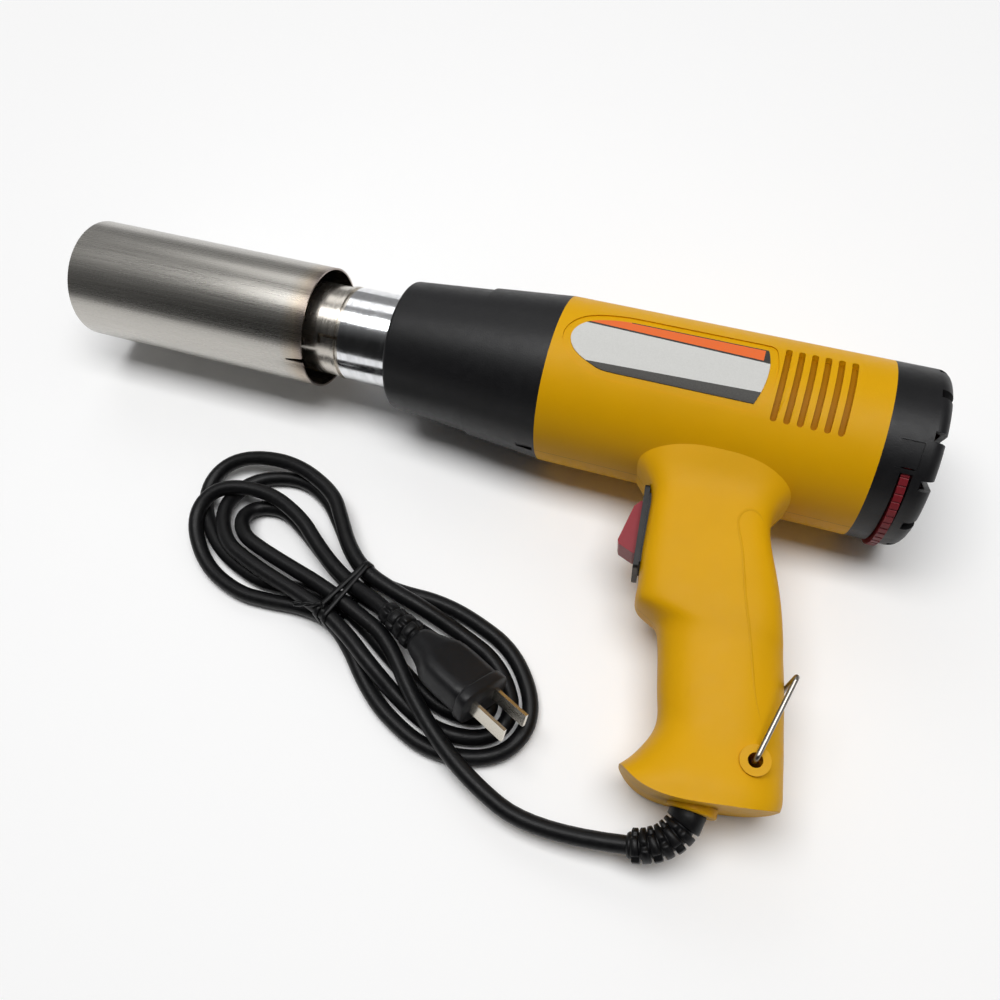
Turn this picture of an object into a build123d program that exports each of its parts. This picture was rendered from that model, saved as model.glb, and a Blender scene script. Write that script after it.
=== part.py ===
from build123d import *
import math
import os

os.makedirs("parts", exist_ok=True)

# A pistol-grip heat gun that lies on its side, with its mains cord tied in a hank.
# Lengths are millimetres and angles are degrees. The gun is drawn about its barrel axis:
# +X runs from the nozzle to the rear cap, the handle hangs along -Y, and +Z leaves the
# left side. At the end everything is tilted into the pose in which the gun lies.

# Clearances and the overrun of cuts
overrun = 4.0
rub_gap = 0.05
seat_gap = 0.05
loose_gap = 0.4

# What counts as nothing, and as nearly upright
tiny = 1e-6
steep_share = 0.9

# Casing halves
barrel_radius = 38.0
barrel_length = 137.8
wall = 2.5
handle_drop = 166.0
handle_half = 19.0
foot_half = 21.0
oval_points = 24
rib_height = 2.6
rib_width = 1.5

# Handle sections from the barrel down to the foot. Each row holds the drop below the axis
# as a share of the handle's drop, the front and the rear as shares of the barrel's length,
# the half width as a share of the handle's, and the squareness of the oval.
handle_shares = [
    (0.145, 0.305, 0.849, 1.420, 2.6),
    (0.181, 0.316, 0.838, 1.263, 2.8),
    (0.217, 0.330, 0.816, 1.137, 3.2),
    (0.247, 0.365, 0.792, 1.053, 3.8),
    (0.283, 0.399, 0.774, 1.011, 4.2),
    (0.337, 0.414, 0.778, 1.000, 4.5),
    (0.410, 0.422, 0.810, 1.000, 4.5),
    (0.482, 0.432, 0.842, 1.000, 4.5),
    (0.542, 0.443, 0.864, 1.000, 4.2),
    (0.578, 0.453, 0.877, 0.979, 3.6),
    (0.608, 0.512, 0.887, 0.947, 2.8),
    (0.645, 0.538, 0.899, 0.926, 2.5),
    (0.711, 0.559, 0.917, 0.926, 2.4),
    (0.783, 0.581, 0.933, 0.937, 2.4),
    (0.837, 0.595, 0.946, 0.958, 2.4),
    (0.880, 0.585, 0.954, 1.000, 2.6),
    (0.916, 0.564, 0.961, 1.053, 2.8),
    (0.952, 0.534, 0.962, 1.095, 3.0),
    (1.024, 0.534, 0.962, 1.105, 3.0),
]
# Underside of the foot: shares of the barrel's length and of the handle's drop
foot_shares = [
    (0.480, 0.925),
    (0.535, 0.965),
    (0.581, 0.989),
    (0.653, 1.001),
    (0.798, 0.987),
    (0.922, 0.965),
    (1.000, 0.938),
]
# Where the foot touches the surface, as shares of the handle's drop and the foot's half
contact_drop_share = 0.991
contact_half_share = 0.991

# Vent slots, in both casing halves
vent_count = 6
vent_first_x = 95.3
vent_step = 5.25
vent_width = 2.6
vent_half_deg = 25.0

# Label on the left half, in a shallow pocket
label_x = 7.3
label_length_share = 0.595
label_height_share = 0.6895
label_length = label_length_share * barrel_length
label_height = label_height_share * barrel_radius
label_thick = 0.5
label_border = 3.5
pocket_depth = 0.6
pocket_points = 60
# Nose and long edges of the label as shares of its length and height
label_nose_shares = [
    (0.313, 0.530),
    (0.155, 0.466),
    (0.045, 0.305),
    (0.000, 0.030),
    (0.039, -0.229),
    (0.143, -0.405),
    (0.289, -0.470),
]
label_top_end_shares = (0.976, 0.530)
label_middle_end_shares = (1.000, 0.050)
label_bottom_end_shares = (0.967, -0.470)

# Casing screws and their bosses: places as shares of the barrel's length and radius for
# the first four, and of the barrel's length and the handle's drop for the others
barrel_screw_shares = [(0.123, 0.816), (0.123, -0.816), (0.885, 0.816), (0.885, -0.816)]
handle_screw_shares = [(0.610, -0.627), (0.813, -0.770), (0.624, -0.905)]
boss_radius = 4.2
screw_radius = 1.3
screw_hole_radius = 1.7
screw_head_radius = 2.9
screw_head_height = 2.2
screw_head_hole = 3.1
screw_seat_depth = 10.0
screw_reach = 8.0
screw_slot_length = 3.5
screw_slot_width = 0.8
screw_slot_depth = 0.9

# Front collar and heat guard
collar_front_x = -36.0
collar_taper = 3.3
collar_front_radius = barrel_radius - collar_taper
collar_wall = 2.4
collar_spigot = 6.0
guard_front_x = -75.9
guard_step = 0.8
guard_taper = 3.5
guard_rear_radius = collar_front_radius - guard_step
guard_front_radius = guard_rear_radius - guard_taper
guard_wall = 2.2
guard_bore_radius = 24.5
guard_tail = 14.0
guard_rounding = 1.8
collar_stop = 3.0
notch_length = 8.0
notch_width = 3.4
notch_depth = 1.2

# Heater tube and what it holds
tube_radius = 22.5
tube_wall = 0.8
tube_front_x = -102.5
tube_flange = 1.5
mica_wall = 0.6
mica_front_x = -80.0
former_front_x = -78.0
former_rear_x = 4.0
former_thick = 1.2
former_tab = 4.0
coil_wire = 1.6
coil_radius = 16.7
coil_turns = 9
coil_front_x = -66.0
coil_rear_x = -8.0

# Nozzle
shroud_radius = 28.9
shroud_wall = 0.8
shroud_front_x = -247.9
shroud_rear_x = -118.0
neck_gap = 0.08
neck_insert = 18.0
neck_front_x = -185.0
bead_rear_x = -104.6
bead_width = 1.7
slit_width = 1.6
slit_length = 8.5
slit_hook = 4.0
slit_deg = -41.0
fold_deg = -71.0
fold_length = 9.0
fold_width = 3.0
strut_count = 3
strut_length = 20.0
strut_thick = 1.2
strut_front_x = -170.0

# Air guide, fan and motor
guide_flange = 2.0
guide_rear_x = 62.0
guide_ring = 4.0
guide_wall = 1.5
guide_rear_inset = 4.5
guide_rear_radius = barrel_radius - guide_rear_inset
guide_front_step = 1.5
guide_front_radius = tube_radius + guide_front_step
fan_front_x = 66.0
fan_length = 12.0
fan_inset = 7.0
fan_radius = barrel_radius - fan_inset
fan_hub_radius = 9.0
blade_count = 9
blade_thick = 1.4
blade_pitch_deg = 38.0
blade_span_share = 1.1
shaft_radius = 1.6
shaft_length = 62.0
motor_radius = 14.0
motor_front_x = 84.0
motor_length = 38.0
motor_boss_radius = 5.0
motor_boss = 2.5
mount_thick = 3.5
mount_spokes = 4
mount_spoke_width = 5.0

# Board, potentiometer and dial
board_inset = 10.8
board_x = barrel_length - board_inset
board_thick = 1.6
board_corner_radius = barrel_radius - wall - loose_gap
pot_size = 15.0
pot_depth = 7.0
pot_bush_radius = 4.5
pot_bush = 4.0
spindle_radius = 3.0
dial_inset = 5.0
dial_radius = barrel_radius - dial_inset
dial_thick = 3.2
dial_behind = 9.2
dial_x = barrel_length + dial_behind
dial_out = 2.3
dial_hub_radius = 6.0
dial_hub = 3.5
dial_knurl_count = 60
dial_knurl_radius = 0.45
dial_hole_count = 6
dial_hole_radius = 7.0
dial_hole_circle = 19.0
dial_gap = 0.8

# Rear cap
cap_depth = 22.2
cap_rear_x = barrel_length + cap_depth
cap_wall = 2.4
cap_rounding = 5.0
cap_spigot_wall = 2.1
cap_slot_count = 12
cap_slot_width = 4.2
cap_slot_inner = 16.0
cap_slot_bite = 3.0
panel_behind = 5.8
panel_x = barrel_length + panel_behind
panel_length = 8.4
panel_from_deg = -37.0
panel_to_deg = -20.0
panel_depth = 0.4

# Switch on the front of the handle, centred on this point and leaning by this angle
switch_x = 57.1
switch_drop = 64.3
switch_lean_deg = 6.7
bezel_length = 37.6
bezel_width = 21.0
bezel_thick = 2.2
bezel_rounding = 1.5
switch_body_length = 31.0
switch_body_width = 18.6
switch_body_depth = 20.0
switch_floor = 3.0
rocker_width = 13.4
rocker_room = 0.5
rocker_pivot_depth = 4.0
pin_radius = 1.6
pin_reach = 1.2
rocker_half = 12.4
# Rocker outline as shares of its half length, out of the bezel's face
rocker_shares = [
    (-1.00, -0.60),
    (-1.00, 0.06),
    (-0.78, 0.27),
    (0.52, 0.63),
    (0.67, 0.58),
    (0.92, 0.09),
    (0.98, -0.50),
    (0.48, -0.78),
    (-0.48, -0.78),
]
terminal_count = 3
terminal_width = 4.8
terminal_thick = 0.8
terminal_length = 9.0
terminal_step = 8.0

# Hanging bail
bail_x = 118.4
bail_drop = 145.2
bail_wire = 1.0
bail_reach = 34.6
bail_lean_deg = 77.0
bail_half = 21.6
bail_inner_half = 15.0
bail_corner = 2.0
bail_hole_radius = 2.7
bail_boss_radius = 5.6
bail_boss_out = 0.5

# Cord entry, clamp and wires inside the handle
cord_radius = 3.5
entry_x = 102.5
entry_radius = 6.0
entry_collar_radius = 9.4
entry_collar = 1.8
entry_collar_round = 1.0
web_drop = 154.0
web_thick = 2.0
clamp_length = 18.0
clamp_width = 12.0
clamp_height = 5.0
core_radius = 1.0
core_step = 2.3
core_bend = 12.0
stub_length = 8.0

# Strain relief: out of the foot, then round a bend to lie along the surface
relief_base_radius = 7.2
relief_tip_radius = 5.7
relief_valley_radius = 4.9
relief_ribs = 8
relief_straight = 6.0
relief_rib_share = 0.46
relief_slope_share = 0.14

# Cord, in the frame of the surface that the gun lies on, with the origin below the gun's.
# The relief's end and the free stretch are places chosen by hand.
relief_end = (83.2, -184.3, 15.0)
cord_route = [(48.4, -190.8, 9.5), (16.0, -179.6, 11.3), (-13.3, -159.0, 11.3)]
tie_centre = (-63.0, -119.6)
hank_turn_deg = 159.04
strand_pitch = 8.4
strand_layer = 7.7
strand_base = 3.6
waist_lift = 0.7
left_side = 53.0
right_side = 59.0
left_neck = 27.0
right_neck = 30.0
free_end_run = 10.0
plug_end_run = 15.0
plug_end_side = 4.6
plug_end_height = 14.8
plug_tilt_deg = 6.3
plug_swing_deg = 4.5
# Each loop of the hank: side (1 away from the plug), reach, side places going out and
# coming back, neck places going out and coming back, levels at the out side, at the tip
# and at the back side, and the columns and levels at the tie going out and coming back.
hank_loops = [
    (1, 70.5, -9.2, 13.2, -6.4, 8.2, (1.0, 0.0, 0.0), (-0.5, 1), (0.5, 0)),
    (-1, 83.0, 9.8, -11.4, 8.0, -8.0, (0.0, 0.0, 0.0), (0.5, 0), (-0.5, 0)),
    (1, 99.4, -20.7, 33.8, -13.1, 23.9, (0.0, 0.1, 1.0), (-0.5, 0), (1.5, 1)),
    (-1, 92.0, 18.9, -20.5, 15.4, -17.3, (0.0, 0.0, 0.0), (1.5, 1), (-1.5, 1)),
    (1, 83.4, -17.1, 31.5, -15.0, 22.0, (1.0, 0.0, 0.0), (-1.5, 1), (1.5, 0)),
    (-1, 100.5, 27.3, -28.9, 23.1, -22.8, (0.0, 0.0, 0.0), (1.5, 0), (-1.5, 0)),
    (1, 89.8, -30.6, 14.2, -22.3, 8.1, (0.0, 1.2, 1.1), (-1.5, 0), (0.5, 1)),
]
tie_width = 5.0
tie_thick = 0.6
tie_corner = 3.6
tie_gap = 0.15

# Plug
sleeve_length = 21.0
sleeve_end_radius = 6.3
sleeve_start_radius = 4.1
sleeve_first_radius = 4.9
sleeve_ribs = 5
plug_length = 41.0
plug_half_width = 12.2
plug_half_thick = 7.8
plug_collar = 5.0
plug_collar_out = 0.7
plug_roll_deg = 30.0
plug_blade_width = 6.3
plug_blade_thick = 1.5
plug_blade_length = 17.5
plug_blade_step = 12.7
plug_blade_root = 8.0
plug_corner_share = 0.8
# Body of the plug: how far along it, its width and its thickness, as shares
plug_shares = [
    (0.0, 0.52, 0.80),
    (0.14, 0.66, 0.90),
    (0.32, 0.94, 1.0),
    (0.55, 1.0, 1.0),
    (1.0, 0.97, 0.97),
]
# Share of a cord's shorter run that its bend may take
bend_share = 0.45


# Shapes about the barrel axis

def joined(shapes):
    """One part from a shape or from several."""
    return Part() + shapes


def disc(x0, x1, radius):
    """Solid cylinder about the barrel axis between two stations."""
    drum = Cylinder(radius, x1 - x0, align=(Align.CENTER, Align.CENTER, Align.MIN))
    return Pos(x0, 0, 0) * Rot(0, 90, 0) * drum


def ring(x0, x1, outer, inner):
    """Plain tube about the barrel axis."""
    return disc(x0, x1, outer) - disc(x0 - overrun, x1 + overrun, inner)


def turned(points):
    """Body turned about the barrel axis from (station, radius) points."""
    return revolve(make_face(Polyline(*points, close=True)), Axis.X)


def slab(x0, x1, y0, y1, z0, z1):
    """Box between two corners."""
    size = Box(x1 - x0, y1 - y0, z1 - z0, align=(Align.MIN, Align.MIN, Align.MIN))
    return Pos(x0, y0, z0) * size


def across(x, y, z0, z1, radius):
    """Cylinder along Z."""
    drum = Cylinder(radius, z1 - z0, align=(Align.CENTER, Align.CENTER, Align.MIN))
    return Pos(x, y, z0) * drum


def about_axis(angle_deg, piece):
    """Turn a piece drawn on +Y about the barrel axis; the angle runs from +Z towards +Y."""
    return Rot(90 - angle_deg, 0, 0) * piece


# Casing

def handle_section(row, inset):
    """Closed oval of the handle at one height."""
    drop, front, rear, half, squareness = row
    x_front = front * barrel_length + inset
    x_rear = rear * barrel_length - inset
    centre = (x_front + x_rear) / 2
    reach = (x_rear - x_front) / 2
    depth = half * handle_half - inset
    points = []
    for step in range(oval_points):
        turn = 2 * math.pi * step / oval_points
        c = math.cos(turn)
        s = math.sin(turn)
        x = centre + reach * math.copysign(abs(c) ** (2 / squareness), c)
        z = depth * math.copysign(abs(s) ** (2 / squareness), s)
        points.append(Vector(x, -drop * handle_drop, z))
    return Wire([Edge.make_spline(points, periodic=True)])


def below_foot(inset):
    """Everything under the foot's underside, moved up by the inset."""
    line = [(x * barrel_length, -y * handle_drop + inset) for x, y in foot_shares]
    deep = -handle_drop - 2 * overrun
    edge = Spline(*line)
    closing = Polyline(line[-1], (line[-1][0], deep), (line[0][0], deep), line[0])
    return extrude(make_face(edge + closing), foot_half + overrun, both=True)


def handle_form(inset):
    """Handle with its flare into the barrel, closed at the foot."""
    sections = [handle_section(row, inset) for row in handle_shares]
    form = Part() + Solid.make_loft(sections)
    return form - below_foot(inset)


def vent_slots():
    """Slots through the barrel wall, with rounded ends, on both sides."""
    inner = barrel_radius - wall - overrun
    outer = barrel_radius + overrun
    cuts = Part()
    for step in range(vent_count):
        x = vent_first_x + step * vent_step
        band = Pos(x, 0, 0) * make_face(Polyline(
            (-vent_width / 2, inner), (vent_width / 2, inner),
            (vent_width / 2, outer), (-vent_width / 2, outer), close=True))
        sweep_deg = 2 * vent_half_deg
        for side_deg in (90, -90):
            start_deg = side_deg - vent_half_deg
            cuts += Rot(start_deg, 0, 0) * revolve(band, Axis.X, sweep_deg)
            for end_deg in (start_deg, start_deg + sweep_deg):
                pin = Cylinder(vent_width / 2, outer - inner,
                               align=(Align.CENTER, Align.CENTER, Align.MIN))
                cuts += Rot(end_deg, 0, 0) * Pos(x, inner, 0) * Rot(-90, 0, 0) * pin
    return cuts


def label_outline():
    """Face of the label: a rounded nose, long edges and a bowed rear end."""
    def place(share):
        return (label_x + share[0] * label_length, share[1] * label_height)

    nose_points = [place(share) for share in label_nose_shares]
    nose = Spline(*nose_points, tangents=[(-1, 0), (1, 0)])
    top_end = place(label_top_end_shares)
    bottom_end = place(label_bottom_end_shares)
    edge = Line(nose_points[-1], bottom_end)
    end = ThreePointArc(bottom_end, place(label_middle_end_shares), top_end)
    top = Line(top_end, nose_points[0])
    return make_face(nose + edge + end + top)


def screw_places():
    """Places of the casing screws on the split plane."""
    places = [(x * barrel_length, y * barrel_radius) for x, y in barrel_screw_shares]
    places += [(x * barrel_length, y * handle_drop) for x, y in handle_screw_shares]
    return places


def pocket_outline():
    """Smooth closed outline at an even border round the label."""
    border = offset(label_outline(), label_border).face().outer_wire()
    points = [border.position_at(k / pocket_points) for k in range(pocket_points)]
    return make_face(Spline(*points, periodic=True))


def label_pocket():
    """Shallow pocket round the label, on the left side of the barrel."""
    prism = extrude(pocket_outline(), barrel_radius + overrun)
    floor = barrel_radius - pocket_depth
    return prism & ring(0, barrel_length, barrel_radius + overrun, floor)


def casing_ribs():
    """Ring ribs inside the barrel that hold the pieces apart."""
    inner_radius = barrel_radius - wall
    rib_radius = inner_radius - rib_height
    stations = [
        collar_spigot + tube_flange + guide_flange,
        guide_rear_x,
        motor_front_x - mount_thick - rib_width,
        motor_front_x,
        board_x - rib_width,
    ]
    ribs = Part()
    for x in stations:
        ribs += ring(x, x + rib_width, inner_radius + wall / 2, rib_radius)
    return ribs


def casing():
    """Both casing halves in one piece, before the split."""
    inner_radius = barrel_radius - wall
    outer = disc(0, barrel_length, barrel_radius) + handle_form(0)
    collar = Pos(entry_x, -handle_drop, 0) * Rot(90, 0, 0) * Cylinder(
        entry_collar_radius, 2 * entry_collar)
    collar = fillet(collar.edges().sort_by(Axis.Y)[0], entry_collar_round)
    boss_half = bail_half - bail_wire - bail_boss_out
    outer += across(bail_x, -bail_drop, -boss_half, boss_half, bail_boss_radius)
    outer += collar
    hollow = disc(-overrun, barrel_length + overrun, inner_radius) + handle_form(wall)
    body = outer - hollow
    inside = outer & hollow
    bosses = Part()
    for x, y in screw_places():
        bosses += across(x, y, -foot_half, foot_half, boss_radius)
    web = slab(0, barrel_length, -web_drop - web_thick, -web_drop, -foot_half, foot_half)
    bosses += web
    bosses += across(bail_x, -bail_drop, -foot_half, foot_half, bail_boss_radius)
    body += inside & bosses
    body += casing_ribs()
    body -= vent_slots()
    body -= across(bail_x, -bail_drop, -2 * foot_half, 2 * foot_half, bail_hole_radius)
    body -= Pos(entry_x, -handle_drop, 0) * Rot(90, 0, 0) * Cylinder(
        entry_radius, 2 * (handle_drop - web_drop + overrun))
    body -= switch_place() * Box(
        switch_body_length, switch_body_width, 2 * switch_body_depth)
    seat = Box(bezel_length, bezel_width, bezel_thick + overrun,
               align=(Align.CENTER, Align.CENTER, Align.MIN))
    body -= switch_place() * Pos(0, 0, -bezel_thick) * seat
    return body


def split(body, side):
    """Half of the casing on one side of the split plane."""
    reach = 2 * handle_drop
    low = 0 if side > 0 else -reach
    return joined(body & slab(-reach, reach, -reach, reach, low, low + reach))


def left_shell(body):
    half = split(body, 1) - label_pocket()
    for x, y in screw_places():
        half -= across(x, y, -overrun, screw_reach + loose_gap, screw_radius)
    return half


def right_shell(body):
    half = split(body, -1)
    for x, y in screw_places():
        half -= across(x, y, -2 * barrel_radius, overrun, screw_hole_radius)
        half -= across(x, y, -2 * barrel_radius, -screw_seat_depth, screw_head_hole)
    return half


def shell_screws():
    """Casing screws, driven from the right side."""
    screws = Part()
    for x, y in screw_places():
        shank = across(x, y, -screw_seat_depth, screw_reach, screw_radius)
        under = -screw_seat_depth - screw_head_height
        head = across(x, y, under, -screw_seat_depth, screw_head_radius)
        for turn in (0, 90):
            head -= Pos(x, y, under) * Rot(0, 0, turn) * Box(
                screw_slot_length, screw_slot_width, 2 * screw_slot_depth)
        screws += shank + head
    return screws


def label_plate():
    """Curved plate on the floor of the label pocket."""
    floor = barrel_radius - pocket_depth
    shape = extrude(label_outline(), barrel_radius + overrun)
    return shape & ring(0, barrel_length, floor + label_thick, floor)


# Front of the gun

def collar_radius_at(x):
    """Outside of the front collar at a station."""
    return barrel_radius + (collar_front_radius - barrel_radius) * x / collar_front_x


def front_collar():
    tail_x = collar_front_x + guard_tail
    stop_x = tail_x + collar_stop
    tail_bore = guard_rear_radius - 2 * seat_gap
    spigot = barrel_radius - wall - seat_gap
    body = turned([
        (collar_front_x, tail_bore),
        (collar_front_x, collar_front_radius),
        (0, barrel_radius),
        (0, spigot),
        (collar_spigot, spigot),
        (collar_spigot, spigot - collar_wall),
        (stop_x, collar_radius_at(stop_x) - collar_wall),
        (stop_x, tail_bore - collar_wall),
        (tail_x, tail_bore - collar_wall),
        (tail_x, tail_bore),
    ])
    notch = slab(-notch_length - notch_depth, -notch_depth,
                 -barrel_radius - overrun, -barrel_radius + notch_depth,
                 -notch_width / 2, notch_width / 2)
    return body - notch


def heat_guard():
    tail_x = collar_front_x + guard_tail
    tail = guard_rear_radius - 2 * seat_gap
    body = turned([
        (guard_front_x, guard_bore_radius),
        (guard_front_x, guard_front_radius),
        (collar_front_x, guard_rear_radius),
        (collar_front_x, tail),
        (tail_x, tail),
        (tail_x, tail - guard_wall),
        (collar_front_x, tail - guard_wall),
        (guard_front_x + guard_wall, guard_front_radius - guard_wall),
        (guard_front_x + guard_wall, guard_bore_radius),
    ])
    front_edges = body.edges().filter_by(GeomType.CIRCLE).group_by(Axis.X)[0]
    return fillet(front_edges.sort_by(SortBy.RADIUS)[-1], guard_rounding)


def heater_tube():
    flange = barrel_radius - wall - seat_gap
    inner = tube_radius - tube_wall
    rear_x = collar_spigot + tube_flange
    body = ring(tube_front_x, rear_x, tube_radius, inner)
    return body + ring(collar_spigot, rear_x, flange, inner)


def mica_sleeve():
    outer = tube_radius - tube_wall
    rear_x = collar_spigot + tube_flange
    return ring(mica_front_x, rear_x, outer, outer - mica_wall)


def element_former():
    """Two crossed mica plates with full-width tabs at their ends."""
    reach = tube_radius - tube_wall - mica_wall
    waist = coil_radius - coil_wire / 2 - seat_gap
    half = former_thick / 2
    cross = Part()
    for turn in (0, 90):
        plate = slab(former_front_x, former_rear_x, -waist, waist, -half, half)
        for x in (former_front_x, former_rear_x - former_tab):
            plate += slab(x, x + former_tab, -reach, reach, -half, half)
        cross += Rot(turn, 0, 0) * plate
    return cross & disc(former_front_x, former_rear_x, reach)


def biarc_edges(p0, t0, p1, t1):
    """Two arcs that leave p0 along t0 and reach p1 along t1."""
    gap = p1 - p0
    closeness = 2 * (1 - t0.dot(t1))
    along = gap.dot(t0 + t1)
    if closeness < tiny:
        lead = gap.dot(gap) / (4 * gap.dot(t1))
    else:
        lead = (-along + math.sqrt(along ** 2 + closeness * gap.dot(gap))) / closeness
    middle = (p0 + t0 * lead + p1 - t1 * lead) / 2
    return [arc_edge(p0, t0, middle), arc_edge(p1, t1 * -1, middle, True)]


def arc_edge(start, tangent, end, backwards=False):
    """Arc or line that leaves the start along the tangent and stops at the end."""
    chord = end - start
    side = chord - tangent * chord.dot(tangent)
    if side.length < chord.length * tiny:
        if backwards:
            return Edge.make_line(end, start)
        return Edge.make_line(start, end)
    turn = 2 * math.atan2(side.length, chord.dot(tangent))
    radius = chord.dot(chord) / (2 * chord.dot(side.normalized()))
    normal = side.normalized()
    half = turn / 2
    middle = start + normal * (radius * (1 - math.cos(half))) + tangent * (
        radius * math.sin(half))
    if backwards:
        return Edge.make_three_point_arc(end, middle, start)
    return Edge.make_three_point_arc(start, middle, end)


def tube_on(edges, radius):
    """Round tube along a chain of edges."""
    path = Wire(edges)
    section = Plane(path.position_at(0), z_dir=path.tangent_at(0)) * Circle(radius)
    return sweep(section, path=path)


def heating_coil():
    """Resistance wire wound round the former, by quarter turns."""
    rise = (coil_rear_x - coil_front_x) / (4 * coil_turns)
    around = math.pi * coil_radius / 2
    steep = math.hypot(rise, around)
    nodes = []
    for quarter in range(4 * coil_turns + 1):
        turn = math.pi * quarter / 2
        c = math.cos(turn)
        s = math.sin(turn)
        place = Vector(coil_front_x + rise * quarter, coil_radius * c, coil_radius * s)
        heading = Vector(rise / steep, -s * around / steep, c * around / steep)
        nodes.append((place, heading))
    edges = []
    for (p0, t0), (p1, t1) in zip(nodes, nodes[1:]):
        edges += biarc_edges(p0, t0, p1, t1)
    return tube_on(edges, coil_wire / 2)


# Nozzle

def neck_outer():
    return tube_radius - tube_wall - neck_gap


def nozzle_neck():
    """Inner tube of the nozzle: it plugs into the heater tube up to its bead."""
    outer = neck_outer()
    rear_x = tube_front_x + neck_insert
    body = ring(neck_front_x, rear_x, outer, outer - tube_wall)
    bead_x = bead_rear_x - bead_width
    body += ring(bead_x, bead_rear_x, tube_radius, outer - tube_wall / 2)
    front = bead_rear_x - slit_length
    slit = slab(front, bead_rear_x + overrun, outer - overrun, outer + overrun,
                -slit_width / 2, slit_width / 2)
    slit += slab(front, front + slit_width, outer - overrun, outer + overrun,
                 -slit_width / 2, slit_hook)
    return body - about_axis(slit_deg, slit)


def nozzle_shroud():
    """Wide outer tube, with a small fold cut in its rear rim."""
    inner = shroud_radius - shroud_wall
    body = ring(shroud_front_x, shroud_rear_x, shroud_radius, inner)
    fold = extrude(make_face(Polyline(
        (shroud_rear_x - fold_length, fold_width / 4), (shroud_rear_x + overrun, fold_width),
        (shroud_rear_x + overrun, 0), (shroud_rear_x - fold_length, 0), close=True)),
        shroud_radius + overrun)
    fold = Rot(-90, 0, 0) * fold
    return body - about_axis(fold_deg, fold)


def nozzle_struts():
    """Bent strips that carry the shroud round the neck."""
    low = neck_outer()
    high = shroud_radius - shroud_wall
    struts = Part()
    for step in range(strut_count):
        strip = slab(strut_front_x, strut_front_x + strut_length, 0, high + overrun,
                     -strut_thick / 2, strut_thick / 2)
        struts += about_axis(90 + 360 * step / strut_count, strip)
    return struts & ring(strut_front_x, strut_front_x + strut_length, high, low)


# Air guide, fan and motor

def air_guide():
    front_x = collar_spigot + tube_flange
    flange = barrel_radius - wall - seat_gap
    inner = tube_radius - tube_wall
    return turned([
        (front_x, inner),
        (front_x, flange),
        (front_x + guide_flange, flange),
        (front_x + guide_flange, guide_front_radius),
        (guide_rear_x - guide_ring, guide_rear_radius),
        (guide_rear_x - guide_ring, flange),
        (guide_rear_x, flange),
        (guide_rear_x, guide_rear_radius - guide_wall),
        (guide_rear_x - guide_ring, guide_rear_radius - guide_wall),
        (front_x + guide_flange, inner),
    ])


def fan_impeller():
    """Hub with pitched blades, pressed on the motor shaft."""
    rear_x = fan_front_x + fan_length
    blades = Part()
    blade = Box(fan_length * blade_span_share, fan_radius, blade_thick,
                align=(Align.CENTER, Align.MIN, Align.CENTER))
    for step in range(blade_count):
        pitched = Pos(fan_front_x + fan_length / 2, 0, 0) * Rot(0, blade_pitch_deg, 0) * blade
        blades += Rot(360 * step / blade_count, 0, 0) * pitched
    blades = joined(blades & disc(fan_front_x, rear_x, fan_radius))
    hub = disc(fan_front_x, rear_x, fan_hub_radius)
    return blades + hub - disc(fan_front_x - overrun, rear_x + overrun, shaft_radius)


def motor_shaft():
    return disc(fan_front_x - shaft_radius, fan_front_x + shaft_length, shaft_radius)


def fan_motor():
    rear_x = motor_front_x + motor_length
    body = disc(motor_front_x, rear_x, motor_radius)
    body += disc(motor_front_x - motor_boss, rear_x + motor_boss / 2, motor_boss_radius)
    bore = shaft_radius + rub_gap
    return body - disc(motor_front_x - 2 * overrun, rear_x + 2 * overrun, bore)


def motor_mount():
    """Spoked ring between two casing ribs; the motor sits on its hub."""
    rear_x = motor_front_x
    front_x = rear_x - mount_thick
    outer = barrel_radius - wall - seat_gap
    body = ring(front_x, rear_x, outer, outer - rib_height)
    body += disc(front_x, rear_x, motor_radius)
    for step in range(mount_spokes):
        turn = 45 + 360 * step / mount_spokes
        spoke = slab(front_x, rear_x, 0, outer - rib_height / 2,
                     -mount_spoke_width / 2, mount_spoke_width / 2)
        body += Rot(turn, 0, 0) * spoke
    return body - disc(front_x - overrun, rear_x + overrun, motor_boss_radius)


# Board, potentiometer, dial and rear cap

def dial_offset():
    """Drop of the dial's axis that lets its edge stand out of the rear cap."""
    return barrel_radius + dial_out - dial_radius


def dial_axis(piece):
    return Pos(0, -dial_offset(), 0) * piece


def board_half():
    return board_corner_radius / math.sqrt(2)


def control_board():
    half = board_half()
    body = slab(board_x, board_x + board_thick, -half, half, -half, half)
    return body - disc(board_x - overrun, board_x + board_thick + overrun, motor_boss_radius)


def potentiometer():
    front_x = board_x + board_thick
    half = pot_size / 2
    body = slab(front_x, front_x + pot_depth, -half, half, -half, half)
    body += disc(front_x, front_x + pot_depth + pot_bush, pot_bush_radius)
    bore = disc(front_x + pot_depth / 2, front_x + pot_depth + 2 * pot_bush,
                spindle_radius + rub_gap)
    return dial_axis(body - bore)


def dial_spindle():
    front_x = board_x + board_thick + pot_depth / 2 + loose_gap
    return dial_axis(disc(front_x, dial_x + dial_thick, spindle_radius))


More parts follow.
